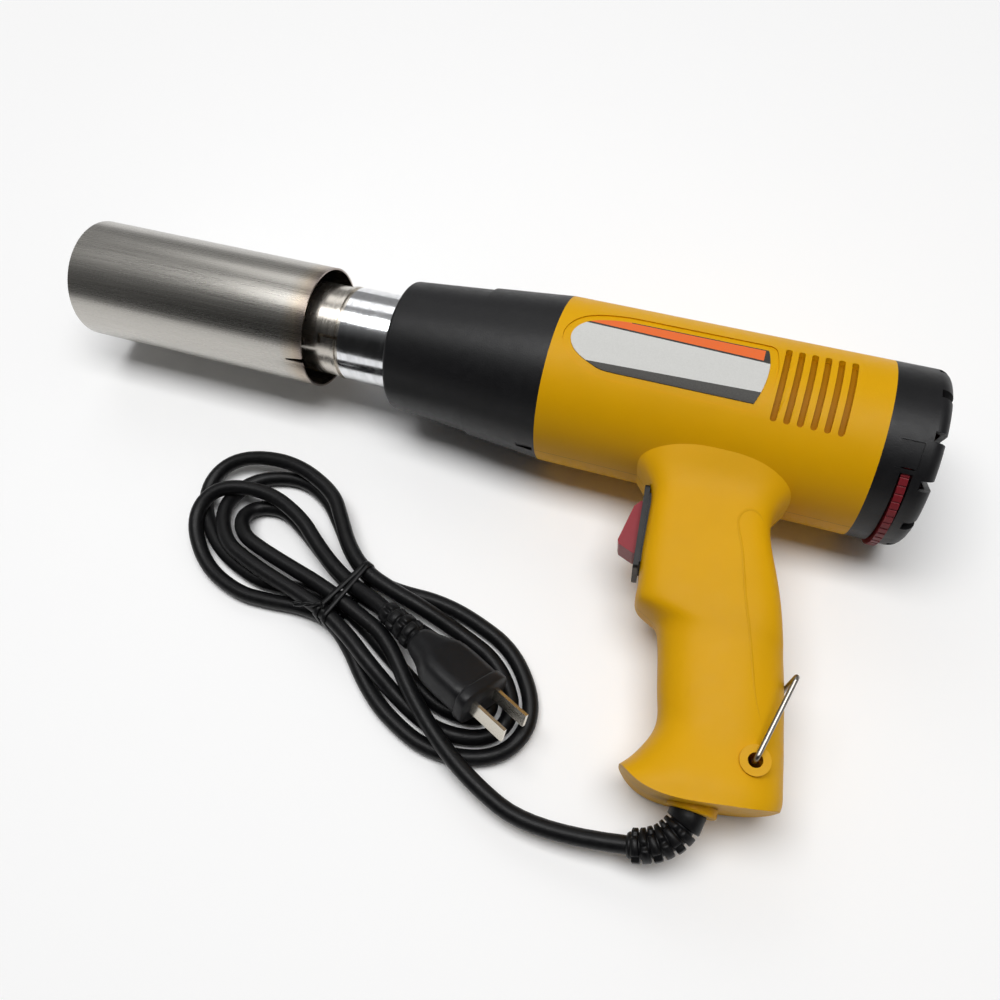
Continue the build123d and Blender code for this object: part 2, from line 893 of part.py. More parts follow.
def temperature_dial():
    body = disc(dial_x, dial_x + dial_thick, dial_radius)
    body += disc(dial_x - dial_hub, dial_x, dial_hub_radius)
    for step in range(dial_hole_count):
        hole = Pos(0, dial_hole_circle, 0) * disc(
            dial_x - overrun, dial_x + dial_thick + overrun, dial_hole_radius)
        body -= Rot(360 * step / dial_hole_count, 0, 0) * hole
    for step in range(dial_knurl_count):
        groove = Pos(0, dial_radius, 0) * disc(
            dial_x - overrun, dial_x + dial_thick + overrun, dial_knurl_radius)
        body -= Rot(360 * (step + 0.5) / dial_knurl_count, 0, 0) * groove
    bore = disc(dial_x - dial_hub - overrun, dial_x + dial_thick + overrun, spindle_radius)
    return dial_axis(body - bore)


def rear_cap():
    spigot = barrel_radius - wall - seat_gap
    spigot_x = board_x + board_thick
    room = barrel_radius - cap_wall
    body = turned([
        (spigot_x, spigot - cap_spigot_wall),
        (spigot_x, spigot),
        (barrel_length, spigot),
        (barrel_length, barrel_radius),
        (cap_rear_x, barrel_radius),
        (cap_rear_x, 0),
        (cap_rear_x - cap_wall, 0),
        (cap_rear_x - cap_wall, room - cap_wall),
        (cap_rear_x - 2 * cap_wall, room),
        (barrel_length + cap_wall, room),
        (barrel_length + cap_wall, spigot - cap_spigot_wall),
    ])
    rear_edge = body.edges().filter_by(GeomType.CIRCLE).group_by(Axis.X)[-1]
    body = fillet(rear_edge.sort_by(SortBy.RADIUS)[-1], cap_rounding)
    slot_x = cap_rear_x - cap_wall - cap_slot_bite
    for step in range(cap_slot_count):
        slot = slab(slot_x, cap_rear_x + overrun, cap_slot_inner,
                    barrel_radius + overrun, -cap_slot_width / 2, cap_slot_width / 2)
        body -= Rot(360 * (step + 0.5) / cap_slot_count, 0, 0) * slot
    window = disc(dial_x - dial_gap, dial_x + dial_thick + dial_gap, dial_radius + dial_gap)
    body -= dial_axis(window)
    panel = Pos(panel_x, 0, 0) * make_face(Polyline(
        (0, barrel_radius - panel_depth), (panel_length, barrel_radius - panel_depth),
        (panel_length, barrel_radius + overrun), (0, barrel_radius + overrun), close=True))
    panel_cut = revolve(panel, Axis.X, panel_to_deg - panel_from_deg)
    return body - Rot(90 - panel_to_deg, 0, 0) * panel_cut


# Switch

def switch_place():
    """Frame on the bezel's face: +Z out of the handle, +X down along it."""
    lean = math.radians(switch_lean_deg)
    down = Vector(math.sin(lean), -math.cos(lean), 0)
    out = Vector(-math.cos(lean), -math.sin(lean), 0)
    origin = Vector(switch_x, -switch_drop, 0) + out * bezel_thick
    return Location(Plane(origin, x_dir=down, z_dir=out))


def rocker_form(extra):
    """Rocker's side outline as a prism, wider by the extra on both sides."""
    points = [(u * rocker_half, n * rocker_half) for u, n in rocker_shares]
    half = rocker_width / 2 + extra
    side = make_face(Polyline(*points, close=True))
    return Rot(90, 0, 0) * extrude(side, half, both=True)


def switch_body():
    bezel = Box(bezel_length, bezel_width, bezel_thick,
                align=(Align.CENTER, Align.CENTER, Align.MAX))
    bezel = fillet(bezel.edges().filter_by(Axis.Z), bezel_rounding)
    block = Pos(0, 0, -bezel_thick / 2) * Box(
        switch_body_length, switch_body_width, switch_body_depth - bezel_thick / 2,
        align=(Align.CENTER, Align.CENTER, Align.MAX))
    room = Box(2 * (rocker_half + rocker_room) + bezel_thick / 2,
               rocker_width + 2 * rocker_room,
               2 * (switch_body_depth - switch_floor))
    pins = Pos(0, 0, -rocker_pivot_depth) * Rot(90, 0, 0) * Cylinder(
        pin_radius + rub_gap, rocker_width + 2 * (rocker_room + pin_reach + loose_gap))
    return switch_place() * (bezel + block - room - pins)


def switch_rocker():
    pins = Pos(0, 0, -rocker_pivot_depth) * Rot(90, 0, 0) * Cylinder(
        pin_radius, rocker_width + 2 * (rocker_room + pin_reach))
    return switch_place() * (rocker_form(0) + pins)


def switch_terminals():
    """Blade terminals at the back of the switch body."""
    tabs = Part()
    for step in range(terminal_count):
        u = (step - (terminal_count - 1) / 2) * terminal_step
        tab = Box(terminal_thick, terminal_width, terminal_length,
                  align=(Align.CENTER, Align.CENTER, Align.MAX))
        tabs += Pos(u, 0, -switch_body_depth) * tab
    return switch_place() * tabs


# Bail

def hanging_bail():
    """Wire loop with two short ends in the bosses of the foot."""
    lean = math.radians(bail_lean_deg)
    tip = Vector(math.cos(lean), math.sin(lean), 0) * bail_reach
    pivot = Vector(bail_x, -bail_drop, 0)
    side = Vector(0, 0, 1)
    points = [
        pivot + side * bail_inner_half,
        pivot + side * bail_half,
        pivot + side * bail_half + tip,
        pivot - side * bail_half + tip,
        pivot - side * bail_half,
        pivot - side * bail_inner_half,
    ]
    path = FilletPolyline(*points, radius=bail_corner)
    section = Plane(points[0], z_dir=side) * Circle(bail_wire)
    return sweep(section, path=path)


# Cord entry inside the handle

def cord_clamp():
    half = clamp_length / 2
    bar = slab(entry_x - half, entry_x + half, -web_drop, -web_drop + clamp_height,
               -clamp_width / 2, clamp_width / 2)
    hole = Pos(entry_x, -web_drop, 0) * Rot(90, 0, 0) * Cylinder(
        cord_radius, 2 * clamp_height + overrun)
    return bar - hole


def inner_wires():
    """Stripped end of the cord above the clamp, and its cores up to the switch."""
    low = -web_drop + clamp_height / 2
    top = -web_drop + clamp_height + stub_length
    sheath = Pos(entry_x, low, 0) * Rot(-90, 0, 0) * Cylinder(
        cord_radius, top - low, align=(Align.CENTER, Align.CENTER, Align.MIN))
    lean = math.radians(switch_lean_deg)
    into_switch = Vector(-math.cos(lean), -math.sin(lean), 0)
    back = -switch_body_depth - terminal_length
    wires = [sheath]
    for step in range(terminal_count):
        shift = step - (terminal_count - 1) / 2
        start = Vector(entry_x - shift * core_step, top - core_radius, 0)
        tab = switch_place() * Pos(shift * terminal_step, 0, back)
        back_run = (start.X - tab.position.X) / into_switch.X
        corner = tab.position + into_switch * back_run
        path = FilletPolyline(start, corner, tab.position, radius=core_bend)
        wires.append(tube_on(path.edges(), core_radius))
    return joined(wires)


# Pose of the gun on the surface: it lies along its barrel and on one side of its foot

contact_drop = handle_drop * contact_drop_share
contact_half = foot_half * contact_half_share
roll = math.asin(barrel_radius / math.hypot(contact_drop, contact_half)) - math.atan2(
    contact_half, contact_drop)
lying = Pos(0, 0, barrel_radius) * Rot(math.degrees(roll), 0, 0)


def on_surface(x, y, z):
    """Place of a gun point in the frame of the surface."""
    return (lying * Pos(x, y, z)).position


# Strain relief, in the frame of the surface

def relief_path():
    """Centre line from inside the foot to the start of the free cord."""
    inner = on_surface(entry_x, -web_drop - web_thick, 0)
    outer = on_surface(entry_x, -handle_drop - relief_straight, 0)
    down = (outer - inner).normalized()
    end = Vector(*relief_end)
    ahead = (Vector(*cord_route[0]) - end).normalized()
    edges = [Edge.make_line(inner, outer)]
    edges += biarc_edges(outer, down, end - ahead * relief_straight, ahead)
    edges.append(Edge.make_line(end - ahead * relief_straight, end))
    return Wire(edges)


def ribbed(path, start_length, ribs, first_radius, last_radius, valley_radius):
    """Ruled body of ribs and valleys along a path, from a length to its end."""
    total = path.length
    step = (total - start_length) / ribs
    stations = [(start_length, valley_radius)]
    for rib in range(ribs):
        crest = first_radius + (last_radius - first_radius) * rib / max(ribs - 1, 1)
        base = start_length + rib * step
        slope = step * relief_slope_share
        wide = step * relief_rib_share
        stations.append((base + slope, crest))
        stations.append((base + slope + wide, crest))
        stations.append((base + 2 * slope + wide, valley_radius))
        if rib < ribs - 1:
            stations.append((base + step, valley_radius))
    stations.append((total, valley_radius))
    rings = []
    steady = None
    for length, radius in stations:
        at = length / total
        heading = path.tangent_at(at)
        if steady is None:
            guide = Vector(0, 0, 1) if abs(heading.Z) < steep_share else Vector(1, 0, 0)
            steady = guide.cross(heading)
        steady = (steady - heading * steady.dot(heading)).normalized()
        plane = Plane(path.position_at(at), x_dir=steady, z_dir=heading)
        rings.append(Wire([Edge.make_circle(radius, plane)]))
    return Solid.make_loft(rings, ruled=True)


def cord_relief():
    path = relief_path()
    start_at = web_drop + web_thick
    lead = handle_drop + entry_collar - start_at
    body = Part() + ribbed(path, lead, relief_ribs, relief_base_radius,
                           relief_tip_radius, relief_valley_radius)
    shank_path = Wire([Edge.make_line(path.position_at(0), path.position_at(lead / path.length))])
    heading = path.tangent_at(0)
    shank = Plane(path.position_at(0), z_dir=heading) * Circle(entry_radius - seat_gap)
    return body + sweep(shank, path=shank_path)


# Hank, in the frame of the surface

hank_turn = math.radians(hank_turn_deg)
hank_along = Vector(math.cos(hank_turn), math.sin(hank_turn), 0)
hank_across = Vector(math.sin(hank_turn), -math.cos(hank_turn), 0)


def strand_place(along, aside, level, lift=0.0):
    """Place of a strand's centre from distances along and across the hank."""
    centre = Vector(tie_centre[0], tie_centre[1], 0)
    height = strand_base + strand_layer * level + lift
    return centre + hank_along * along + hank_across * aside + Vector(0, 0, height)


def heading_between(start, end):
    """Flat direction from one (along, aside) place to another."""
    line = hank_along * (end[0] - start[0]) + hank_across * (end[1] - start[1])
    return line.normalized()


def plug_heading():
    """Direction in which the cord's end and the plug point."""
    swing = math.radians(plug_swing_deg)
    flat = hank_along * -math.cos(swing) - hank_across * math.sin(swing)
    tilt = math.radians(plug_tilt_deg)
    return flat * math.cos(tilt) + Vector(0, 0, math.sin(tilt))


def plug_start():
    """Face where the hank's last straight run meets the plug."""
    end = strand_place(-plug_end_run, plug_end_side, 0)
    end = Vector(end.X, end.Y, plug_end_height)
    return end + plug_heading() * (2 * cord_radius)


def hank_edges():
    """Straight starts, loops and waist runs of the hank in one chain of arcs."""
    first_slot = hank_loops[0][7]
    last_slot = hank_loops[-1][8]
    nodes = []
    for side, reach, out, back, neck_out, neck_back, levels, slot, exit_slot in hank_loops:
        flank = side * (left_side if side > 0 else right_side)
        neck = side * (left_neck if side > 0 else right_neck)
        waist_out = (0, slot[0] * strand_pitch)
        waist_back = (0, exit_slot[0] * strand_pitch)
        ahead = hank_along * side
        nodes.append((strand_place(*waist_out, slot[1], waist_lift), ahead))
        nodes.append((strand_place(neck, neck_out, slot[1]),
                      heading_between(waist_out, (flank, out))))
        nodes.append((strand_place(flank, out, levels[0]), ahead))
        nodes.append((strand_place(side * reach, (out + back) / 2, levels[1]),
                      hank_across * side))
        nodes.append((strand_place(flank, back, levels[2]), ahead * -1))
        nodes.append((strand_place(neck, neck_back, exit_slot[1]),
                      heading_between((flank, back), waist_back)))
    nodes.append((strand_place(0, last_slot[0] * strand_pitch, last_slot[1], waist_lift),
                  hank_along * -1))
    end = plug_start()
    nodes.append((end - plug_heading() * (2 * cord_radius), plug_heading()))
    edges = [Edge.make_line(hank_start(), nodes[0][0])]
    for (p0, t0), (p1, t1) in zip(nodes, nodes[1:]):
        edges += biarc_edges(p0, t0, p1, t1)
    edges.append(Edge.make_line(nodes[-1][0], end))
    return edges


def hank_start():
    """Face where the free stretch meets the hank."""
    slot = hank_loops[0][7]
    return strand_place(-free_end_run, slot[0] * strand_pitch, slot[1], waist_lift)


def free_points():
    """Corners of the free stretch, from the relief to the hank."""
    slot = hank_loops[0][7]
    last = strand_place(-3 * free_end_run, slot[0] * strand_pitch, slot[1], waist_lift)
    corners = [Vector(*relief_end)]
    corners += [Vector(*place) for place in cord_route]
    return corners + [last, hank_start()]


def corner_radii(points):
    """Bend radius at each inner corner, from its shorter run and its turn."""
    radii = []
    for before, corner, after in zip(points, points[1:], points[2:]):
        run_in = corner - before
        run_out = after - corner
        turn = math.radians(run_in.get_angle(run_out))
        shorter = min(run_in.length, run_out.length)
        radii.append(bend_share * shorter / math.tan(turn / 2))
    return radii


def free_path():
    points = free_points()
    return FilletPolyline(*points, radius=corner_radii(points))


def cord_free():
    path = free_path()
    points = free_points()
    heading = (points[1] - points[0]).normalized()
    section = Plane(points[0], z_dir=heading) * Circle(cord_radius)
    return sweep(section, path=path)


def cord_hank():
    return tube_on(hank_edges(), cord_radius)


def cord_tie():
    """Flat band round all strands at the waist."""
    half = 1.5 * strand_pitch + cord_radius + 2 * tie_gap
    low = strand_base + waist_lift - cord_radius - tie_gap
    high = strand_base + waist_lift + strand_layer + cord_radius + tie_gap
    centre = strand_place(0, 0, 0)
    middle = Vector(centre.X, centre.Y, (low + high) / 2)
    plane = Plane(middle, x_dir=hank_across, z_dir=hank_along)
    inner = RectangleRounded(2 * half, high - low, tie_corner - tie_thick)
    outer = RectangleRounded(2 * (half + tie_thick), high - low + 2 * tie_thick, tie_corner)
    return extrude(plane * (outer - inner), tie_width / 2, both=True)


# Plug, in the frame of the surface

def plug_plane(distance):
    """Plane square to the plug at a distance from its start, rolled with it."""
    ahead = plug_heading()
    flat = ahead.cross(Vector(0, 0, 1)).normalized()
    up = flat.cross(ahead).normalized()
    turn = math.radians(plug_roll_deg)
    wide = flat * math.cos(turn) + up * math.sin(turn)
    return Plane(plug_start() + ahead * distance, x_dir=wide, z_dir=ahead)


def plug_body():
    """Ribbed sleeve, a waisted body and a flat collar at the blades."""
    ahead = plug_heading()
    start = plug_start()
    sleeve_line = Wire([Edge.make_line(start, start + ahead * sleeve_length)])
    sleeve = ribbed(sleeve_line, 0, sleeve_ribs, sleeve_first_radius,
                    sleeve_end_radius, sleeve_start_radius)
    rings = []
    for length_share, wide_share, thick_share in plug_shares:
        plane = plug_plane(sleeve_length + length_share * plug_length)
        section = plane * RectangleRounded(
            2 * plug_half_width * wide_share, 2 * plug_half_thick * thick_share,
            plug_corner_share * plug_half_thick * min(wide_share, thick_share))
        rings.append(section.wire())
    body = Part() + Solid.make_loft(rings, ruled=True)
    collar_plane = plug_plane(sleeve_length + plug_length - plug_collar)
    collar = extrude(collar_plane * RectangleRounded(
        2 * (plug_half_width + plug_collar_out), 2 * (plug_half_thick + plug_collar_out),
        plug_corner_share * plug_half_thick), plug_collar)
    body = body + sleeve + collar
    for side in (-1, 1):
        plane = plug_plane(sleeve_length + plug_length - plug_blade_root)
        body -= plug_blade(plane, side)
    return body


def plug_blade(plane, side):
    """One flat contact blade, with its root inside the body."""
    section = plane * (Pos(side * plug_blade_step / 2, 0) * Rectangle(
        plug_blade_thick, plug_blade_width))
    return extrude(section, plug_blade_root + plug_blade_length)


def plug_blades():
    plane = plug_plane(sleeve_length + plug_length - plug_blade_root)
    return plug_blade(plane, -1) + plug_blade(plane, 1)


# Building, placing and writing

def sampled(edges, step):
    """Points along a chain of edges, with their distance along it."""
    places = []
    travelled = 0.0
    for edge in edges:
        count = max(2, math.ceil(edge.length / step))
        for k in range(count):
            places.append((travelled + edge.length * k / count, edge.position_at(k / count)))
        travelled += edge.length
    return places, travelled


def least_gap(edges):
    """Least clear distance between strands more than a few diameters apart."""
    places, total = sampled(edges, cord_radius / 2)
    least = total
    for i, (s0, p0) in enumerate(places):
        for s1, p1 in places[i + 1:]:
            if s1 - s0 > 7 * cord_radius:
                least = min(least, (p1 - p0).length)
    return least - 2 * cord_radius, total


casing_body = casing()
gun_pieces = {
    "left_shell": left_shell(casing_body),
    "right_shell": right_shell(casing_body),
    "shell_screws": shell_screws(),
    "label_plate": label_plate(),
    "front_collar": front_collar(),
    "heat_guard": heat_guard(),
    "heater_tube": heater_tube(),
    "mica_sleeve": mica_sleeve(),
    "element_former": element_former(),
    "heating_coil": heating_coil(),
    "nozzle_neck": nozzle_neck(),
    "nozzle_shroud": nozzle_shroud(),
    "nozzle_struts": nozzle_struts(),
    "air_guide": air_guide(),
    "fan_impeller": fan_impeller(),
    "motor_shaft": motor_shaft(),
    "fan_motor": fan_motor(),
    "motor_mount": motor_mount(),
    "control_board": control_board(),
    "potentiometer": potentiometer(),
    "dial_spindle": dial_spindle(),
    "temperature_dial": temperature_dial(),
    "rear_cap": rear_cap(),
    "switch_body": switch_body(),
    "switch_rocker": switch_rocker(),
    "switch_terminals": switch_terminals(),
    "hanging_bail": hanging_bail(),
    "cord_clamp": cord_clamp(),
    "inner_wires": inner_wires(),
}
placed = {name: lying * joined(piece) for name, piece in gun_pieces.items()}
placed["cord_relief"] = joined(cord_relief())

boxes = [piece.bounding_box() for piece in placed.values()]
low = [min(values) for values in zip(*[tuple(box.min) for box in boxes])]
high = [max(values) for values in zip(*[tuple(box.max) for box in boxes])]
home = Pos(-(low[0] + high[0]) / 2, -(low[1] + high[1]) / 2, -low[2])

hank_chain = hank_edges()
placed["cord_free"] = joined(cord_free())
placed["cord_hank"] = joined(cord_hank())
placed["cord_tie"] = joined(cord_tie())
placed["plug_body"] = joined(plug_body())
placed["plug_blades"] = joined(plug_blades())

for name, piece in placed.items():
    export_step(home * piece, f"parts/{name}.step")

gap, hank_length = least_gap(hank_chain)
section = math.pi * cord_radius ** 2
print("cord radius", cord_radius, "hank length", round(hank_length, 1))
print("least gap between strands", round(gap, 2))
for name, length in (("cord_hank", hank_length), ("cord_free", free_path().length)):
    ratio = placed[name].volume / (section * length)
    print(name, "volume over section times length", round(ratio, 4))
print("bends of the free stretch", [round(radius, 1) for radius in corner_radii(free_points())])
print("roll", round(math.degrees(roll), 3))
print("home", home.position)
for name in ("left_shell", "right_shell", "rear_cap", "nozzle_shroud", "hanging_bail"):
    print(name, "lowest", round((home * placed[name]).bounding_box().min.Z, 3))
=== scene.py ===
import math
import bmesh
import bpy
from mathutils import Matrix, Vector


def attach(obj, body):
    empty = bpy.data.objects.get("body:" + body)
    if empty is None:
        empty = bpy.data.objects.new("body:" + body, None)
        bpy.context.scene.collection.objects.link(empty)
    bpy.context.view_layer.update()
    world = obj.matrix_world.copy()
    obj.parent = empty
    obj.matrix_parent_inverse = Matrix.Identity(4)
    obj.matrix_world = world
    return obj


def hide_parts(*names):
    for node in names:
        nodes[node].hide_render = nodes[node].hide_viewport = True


# A heat gun lying on its side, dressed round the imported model. Gun places are millimetres
# about the barrel axis: +x to the rear cap, the handle along -y, +z out of the left side.
# Floor places are millimetres on the surface below the barrel.

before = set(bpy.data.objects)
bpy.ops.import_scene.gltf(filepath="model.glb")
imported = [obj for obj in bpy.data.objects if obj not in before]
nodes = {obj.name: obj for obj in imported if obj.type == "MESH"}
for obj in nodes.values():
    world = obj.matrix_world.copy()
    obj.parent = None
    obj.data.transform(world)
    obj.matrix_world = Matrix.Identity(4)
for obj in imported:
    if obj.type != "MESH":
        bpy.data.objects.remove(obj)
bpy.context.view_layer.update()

MM = 0.001
ROLL = math.radians(6.038)
HOME = Vector((43.95, 75.815, 0.0))
BARREL_RADIUS = 38.0


def floor_place(x, y, z):
    """Floor millimetres to the frame's metres."""
    return (Vector((x, y, z)) + HOME) * MM


def gun_turn(x, y, z):
    """Direction in the gun's axes to the frame's axes."""
    return Matrix.Rotation(ROLL, 3, "X") @ Vector((x, y, z))


def gun_place(x, y, z):
    """Gun millimetres to the frame's metres."""
    place = gun_turn(x, y, z)
    return floor_place(place.x, place.y, place.z + BARREL_RADIUS)


# Camera

EYE = (77.792, -201.042, 342.412)
AHEAD = (-0.21979, 0.32977, -0.91812)
UP = (-0.25274, 0.88975, 0.38009)
LENS = 30.87
SENSOR = 36.0
NEAR = 0.01
FAR = 20.0
SHIFT = (0.0029, 0.0269)


def add_camera():
    """Camera at the photograph's place and angle."""
    data = bpy.data.cameras.new("camera")
    data.lens = LENS
    data.sensor_width = SENSOR
    data.shift_x, data.shift_y = SHIFT
    data.clip_start = NEAR
    data.clip_end = FAR
    camera = bpy.data.objects.new("camera", data)
    bpy.context.scene.collection.objects.link(camera)
    back = -gun_turn(*AHEAD).normalized()
    right = gun_turn(*UP).cross(back).normalized()
    up = back.cross(right)
    turn = Matrix((right, up, back)).transposed().to_4x4()
    camera.matrix_world = Matrix.Translation(gun_place(*EYE)) @ turn
    bpy.context.scene.camera = camera


add_camera()


# Shader helpers

def new_material(name):
    """Empty material with a Principled shader, and its node tree."""
    material = bpy.data.materials.new(name)
    material.use_nodes = True
    tree = material.node_tree
    tree.nodes.clear()
    output = tree.nodes.new("ShaderNodeOutputMaterial")
    shader = tree.nodes.new("ShaderNodeBsdfPrincipled")
    tree.links.new(shader.outputs["BSDF"], output.inputs["Surface"])
    return material, tree, shader


def feed(tree, value, socket):
    """Links a socket, or sets a plain value, on an input."""
    if isinstance(value, bpy.types.NodeSocket):
        tree.links.new(value, socket)
    elif isinstance(value, tuple) and len(value) == 3 and socket.type == "RGBA":
        socket.default_value = (*value, 1.0)
    else:
        socket.default_value = value


def math_node(tree, operation, a, b=0.0, c=0.0):
    """Result of one Math node."""
    node = tree.nodes.new("ShaderNodeMath")
    node.operation = operation
    for socket, value in zip(node.inputs, (a, b, c)):
        feed(tree, value, socket)
    return node.outputs[0]


def mix_colour(tree, share, a, b, blend="MIX"):
    """Two colours mixed by a share."""
    node = tree.nodes.new("ShaderNodeMix")
    node.data_type = "RGBA"
    node.blend_type = blend
    feed(tree, share, node.inputs[0])
    feed(tree, a, node.inputs[6])
    feed(tree, b, node.inputs[7])
    return node.outputs[2]


def spread(tree, value, low, high, to_low=0.0, to_high=1.0):
    """A value mapped from one range to another, clamped."""
    node = tree.nodes.new("ShaderNodeMapRange")
    for socket, number in zip(node.inputs[:5], (value, low, high, to_low, to_high)):
        feed(tree, number, socket)
    return node.outputs[0]


def gun_coordinates(tree, scale=(1.0, 1.0, 1.0)):
    """Coordinates in gun millimetres, each divided by its scale."""
    source = tree.nodes.new("ShaderNodeTexCoord")
    mapping = tree.nodes.new("ShaderNodeMapping")
    mapping.vector_type = "TEXTURE"
    mapping.inputs["Location"].default_value = gun_place(0, 0, 0)
    mapping.inputs["Rotation"].default_value = (ROLL, 0, 0)
    mapping.inputs["Scale"].default_value = [MM * share for share in scale]
    tree.links.new(source.outputs["Object"], mapping.inputs["Vector"])
    return mapping.outputs[0]


def parts_of(tree, vector):
    """x, y and z of a vector."""
    node = tree.nodes.new("ShaderNodeSeparateXYZ")
    tree.links.new(vector, node.inputs[0])
    return node.outputs[0], node.outputs[1], node.outputs[2]


def noise(tree, vector, scale, detail=2.0, rough=0.5):
    """Noise value over the coordinates."""
    node = tree.nodes.new("ShaderNodeTexNoise")
    tree.links.new(vector, node.inputs["Vector"])
    node.inputs["Scale"].default_value = scale
    node.inputs["Detail"].default_value = detail
    node.inputs["Roughness"].default_value = rough
    return node.outputs[0]


def bump(tree, shader, height, distance, strength=1.0):
    """Bump of the height, in metres, on the shader's normal."""
    node = tree.nodes.new("ShaderNodeBump")
    node.inputs["Distance"].default_value = distance
    node.inputs["Strength"].default_value = strength
    tree.links.new(height, node.inputs["Height"])
    earlier = shader.inputs["Normal"].links
    if earlier:
        tree.links.new(earlier[0].from_socket, node.inputs["Normal"])
    tree.links.new(node.outputs[0], shader.inputs["Normal"])


# Materials

SEAM_HALF = 0.11
SEAM_SHARE = 0.75
SEAM_COLOUR = (0.10, 0.045, 0.002)


def seam_line(tree, base):
    """Fine dark line where the two casing halves meet."""
    z = parts_of(tree, gun_coordinates(tree))[2]
    near = math_node(tree, "LESS_THAN", math_node(tree, "ABSOLUTE", z), SEAM_HALF)
    return mix_colour(tree, math_node(tree, "MULTIPLY", near, SEAM_SHARE), base, SEAM_COLOUR)


CLOUD_SCALE = 0.035
CLOUD_RANGE = (0.35, 0.65)
MARK_SCALE = 0.22
MARK_RANGE = (0.3, 0.7)
MARK_ROUGH = (-0.05, 0.06)
SPARK_SCALE = 2.2
PLASTIC_IOR = 1.5
SCATTER_REACH = 0.002
SCATTER_RADII = (1.0, 0.5, 0.15)


def moulded(name, colour, rough, grain, shade=0.93, scatter=0.0, gloss=0.5, over=None):
    """Moulded plastic: fine spark texture, slight cloudiness and handling marks."""
    material, tree, shader = new_material(name)
    place = gun_coordinates(tree)
    cloud = noise(tree, place, CLOUD_SCALE, 3.0)
    darker = tuple(value * shade for value in colour)
    base = mix_colour(tree, spread(tree, cloud, *CLOUD_RANGE), colour, darker)
    if over:
        base = over(tree, base)
    feed(tree, base, shader.inputs["Base Color"])
    shader.inputs["Specular IOR Level"].default_value = gloss
    marks = noise(tree, place, MARK_SCALE, 5.0, 0.7)
    smooth, dull = (rough + change for change in MARK_ROUGH)
    feed(tree, spread(tree, marks, *MARK_RANGE, smooth, dull), shader.inputs["Roughness"])
    shader.inputs["IOR"].default_value = PLASTIC_IOR
    if scatter:
        shader.inputs["Subsurface Weight"].default_value = scatter
        shader.inputs["Subsurface Scale"].default_value = SCATTER_REACH
        shader.inputs["Subsurface Radius"].default_value = SCATTER_RADII
    bump(tree, shader, noise(tree, place, SPARK_SCALE, 2.0), grain)
    return material


BRUSH_DARKER = 0.91
BRUSH_RANGE = (0.3, 0.7)
BRUSH_CLOUD_SCALE = 0.05
BRUSH_CLOUD_RANGE = (0.3, 0.75, 0.0, 0.25)
BRUSH_ROUGH_RANGE = (0.25, 0.75)
BRUSH_ROUGH = (-0.04, 0.06)
BRUSH_DEPTH = 0.000008


def brushed(name, colour, rough, along, across, tint=None):
    """Drawn or brushed metal with fine lines along the barrel."""
    material, tree, shader = new_material(name)
    shader.inputs["Metallic"].default_value = 1.0
    lines = noise(tree, gun_coordinates(tree, (along, across, across)), 1.0, 4.0, 0.6)
    cloud = noise(tree, gun_coordinates(tree), BRUSH_CLOUD_SCALE, 3.0)
    darker = tuple(value * BRUSH_DARKER for value in colour)
    base = mix_colour(tree, spread(tree, lines, *BRUSH_RANGE), darker, colour)
    base = mix_colour(tree, spread(tree, cloud, *BRUSH_CLOUD_RANGE), base, darker)
    if tint:
        base = tint(tree, base)
    feed(tree, base, shader.inputs["Base Color"])
    smooth, dull = (rough + change for change in BRUSH_ROUGH)
    feed(tree, spread(tree, lines, *BRUSH_ROUGH_RANGE, smooth, dull),
         shader.inputs["Roughness"])
    bump(tree, shader, lines, BRUSH_DEPTH)
    return material


# Heat colours: where each begins and ends along the barrel, its share and its colour
TINT_WANDER = 6.0
TINT_SCALE = 0.12
STRAW = (-127.0, -116.0, 0.6, (0.42, 0.30, 0.17))
BLUE = (-119.0, -114.0, 0.55, (0.16, 0.15, 0.20))


def heat_tint(tree, base):
    """Straw and blue heat colours round the weld at the shroud's rear rim."""
    x = parts_of(tree, gun_coordinates(tree))[0]
    wander = noise(tree, gun_coordinates(tree), TINT_SCALE, 3.0)
    edge = math_node(tree, "ADD", x, math_node(tree, "MULTIPLY", wander, TINT_WANDER))
    for start, end, share, colour in (STRAW, BLUE):
        reach = math_node(tree, "MULTIPLY", spread(tree, edge, start, end), share)
        base = mix_colour(tree, reach, base, colour)
    return base


LABEL_GREY = (0.62, 0.62, 0.60)
LABEL_DARK = (0.040, 0.038, 0.034)
LABEL_ORANGE = (0.80, 0.15, 0.03)
LABEL_GRAIN = (0.25, 0.24, 0.22)
PRINT_SCALE = 1.6
PRINT_RANGE = (0.3, 0.7)
PRINT_SHARE = (0.0, 0.10)
PRINT_ROUGH = (0.34, 0.44)
PRINT_DEPTH = 0.00001
LABEL_GLOSS = 0.16
# Lines between the label's bands: height at the barrel's front, and slope
LOWER_LINE = (-10.1, 0.031)
DARK_LINE = (8.9, -0.029)
ORANGE_LINE = (9.9, -0.029)
ORANGE_END = 86.2
# Painted shade under the pocket rim: height above which the label's top edge is dark, and
# where it starts along the barrel
RIM_SHADE_HEIGHT = 13.35
RIM_SHADE_START = 30.0


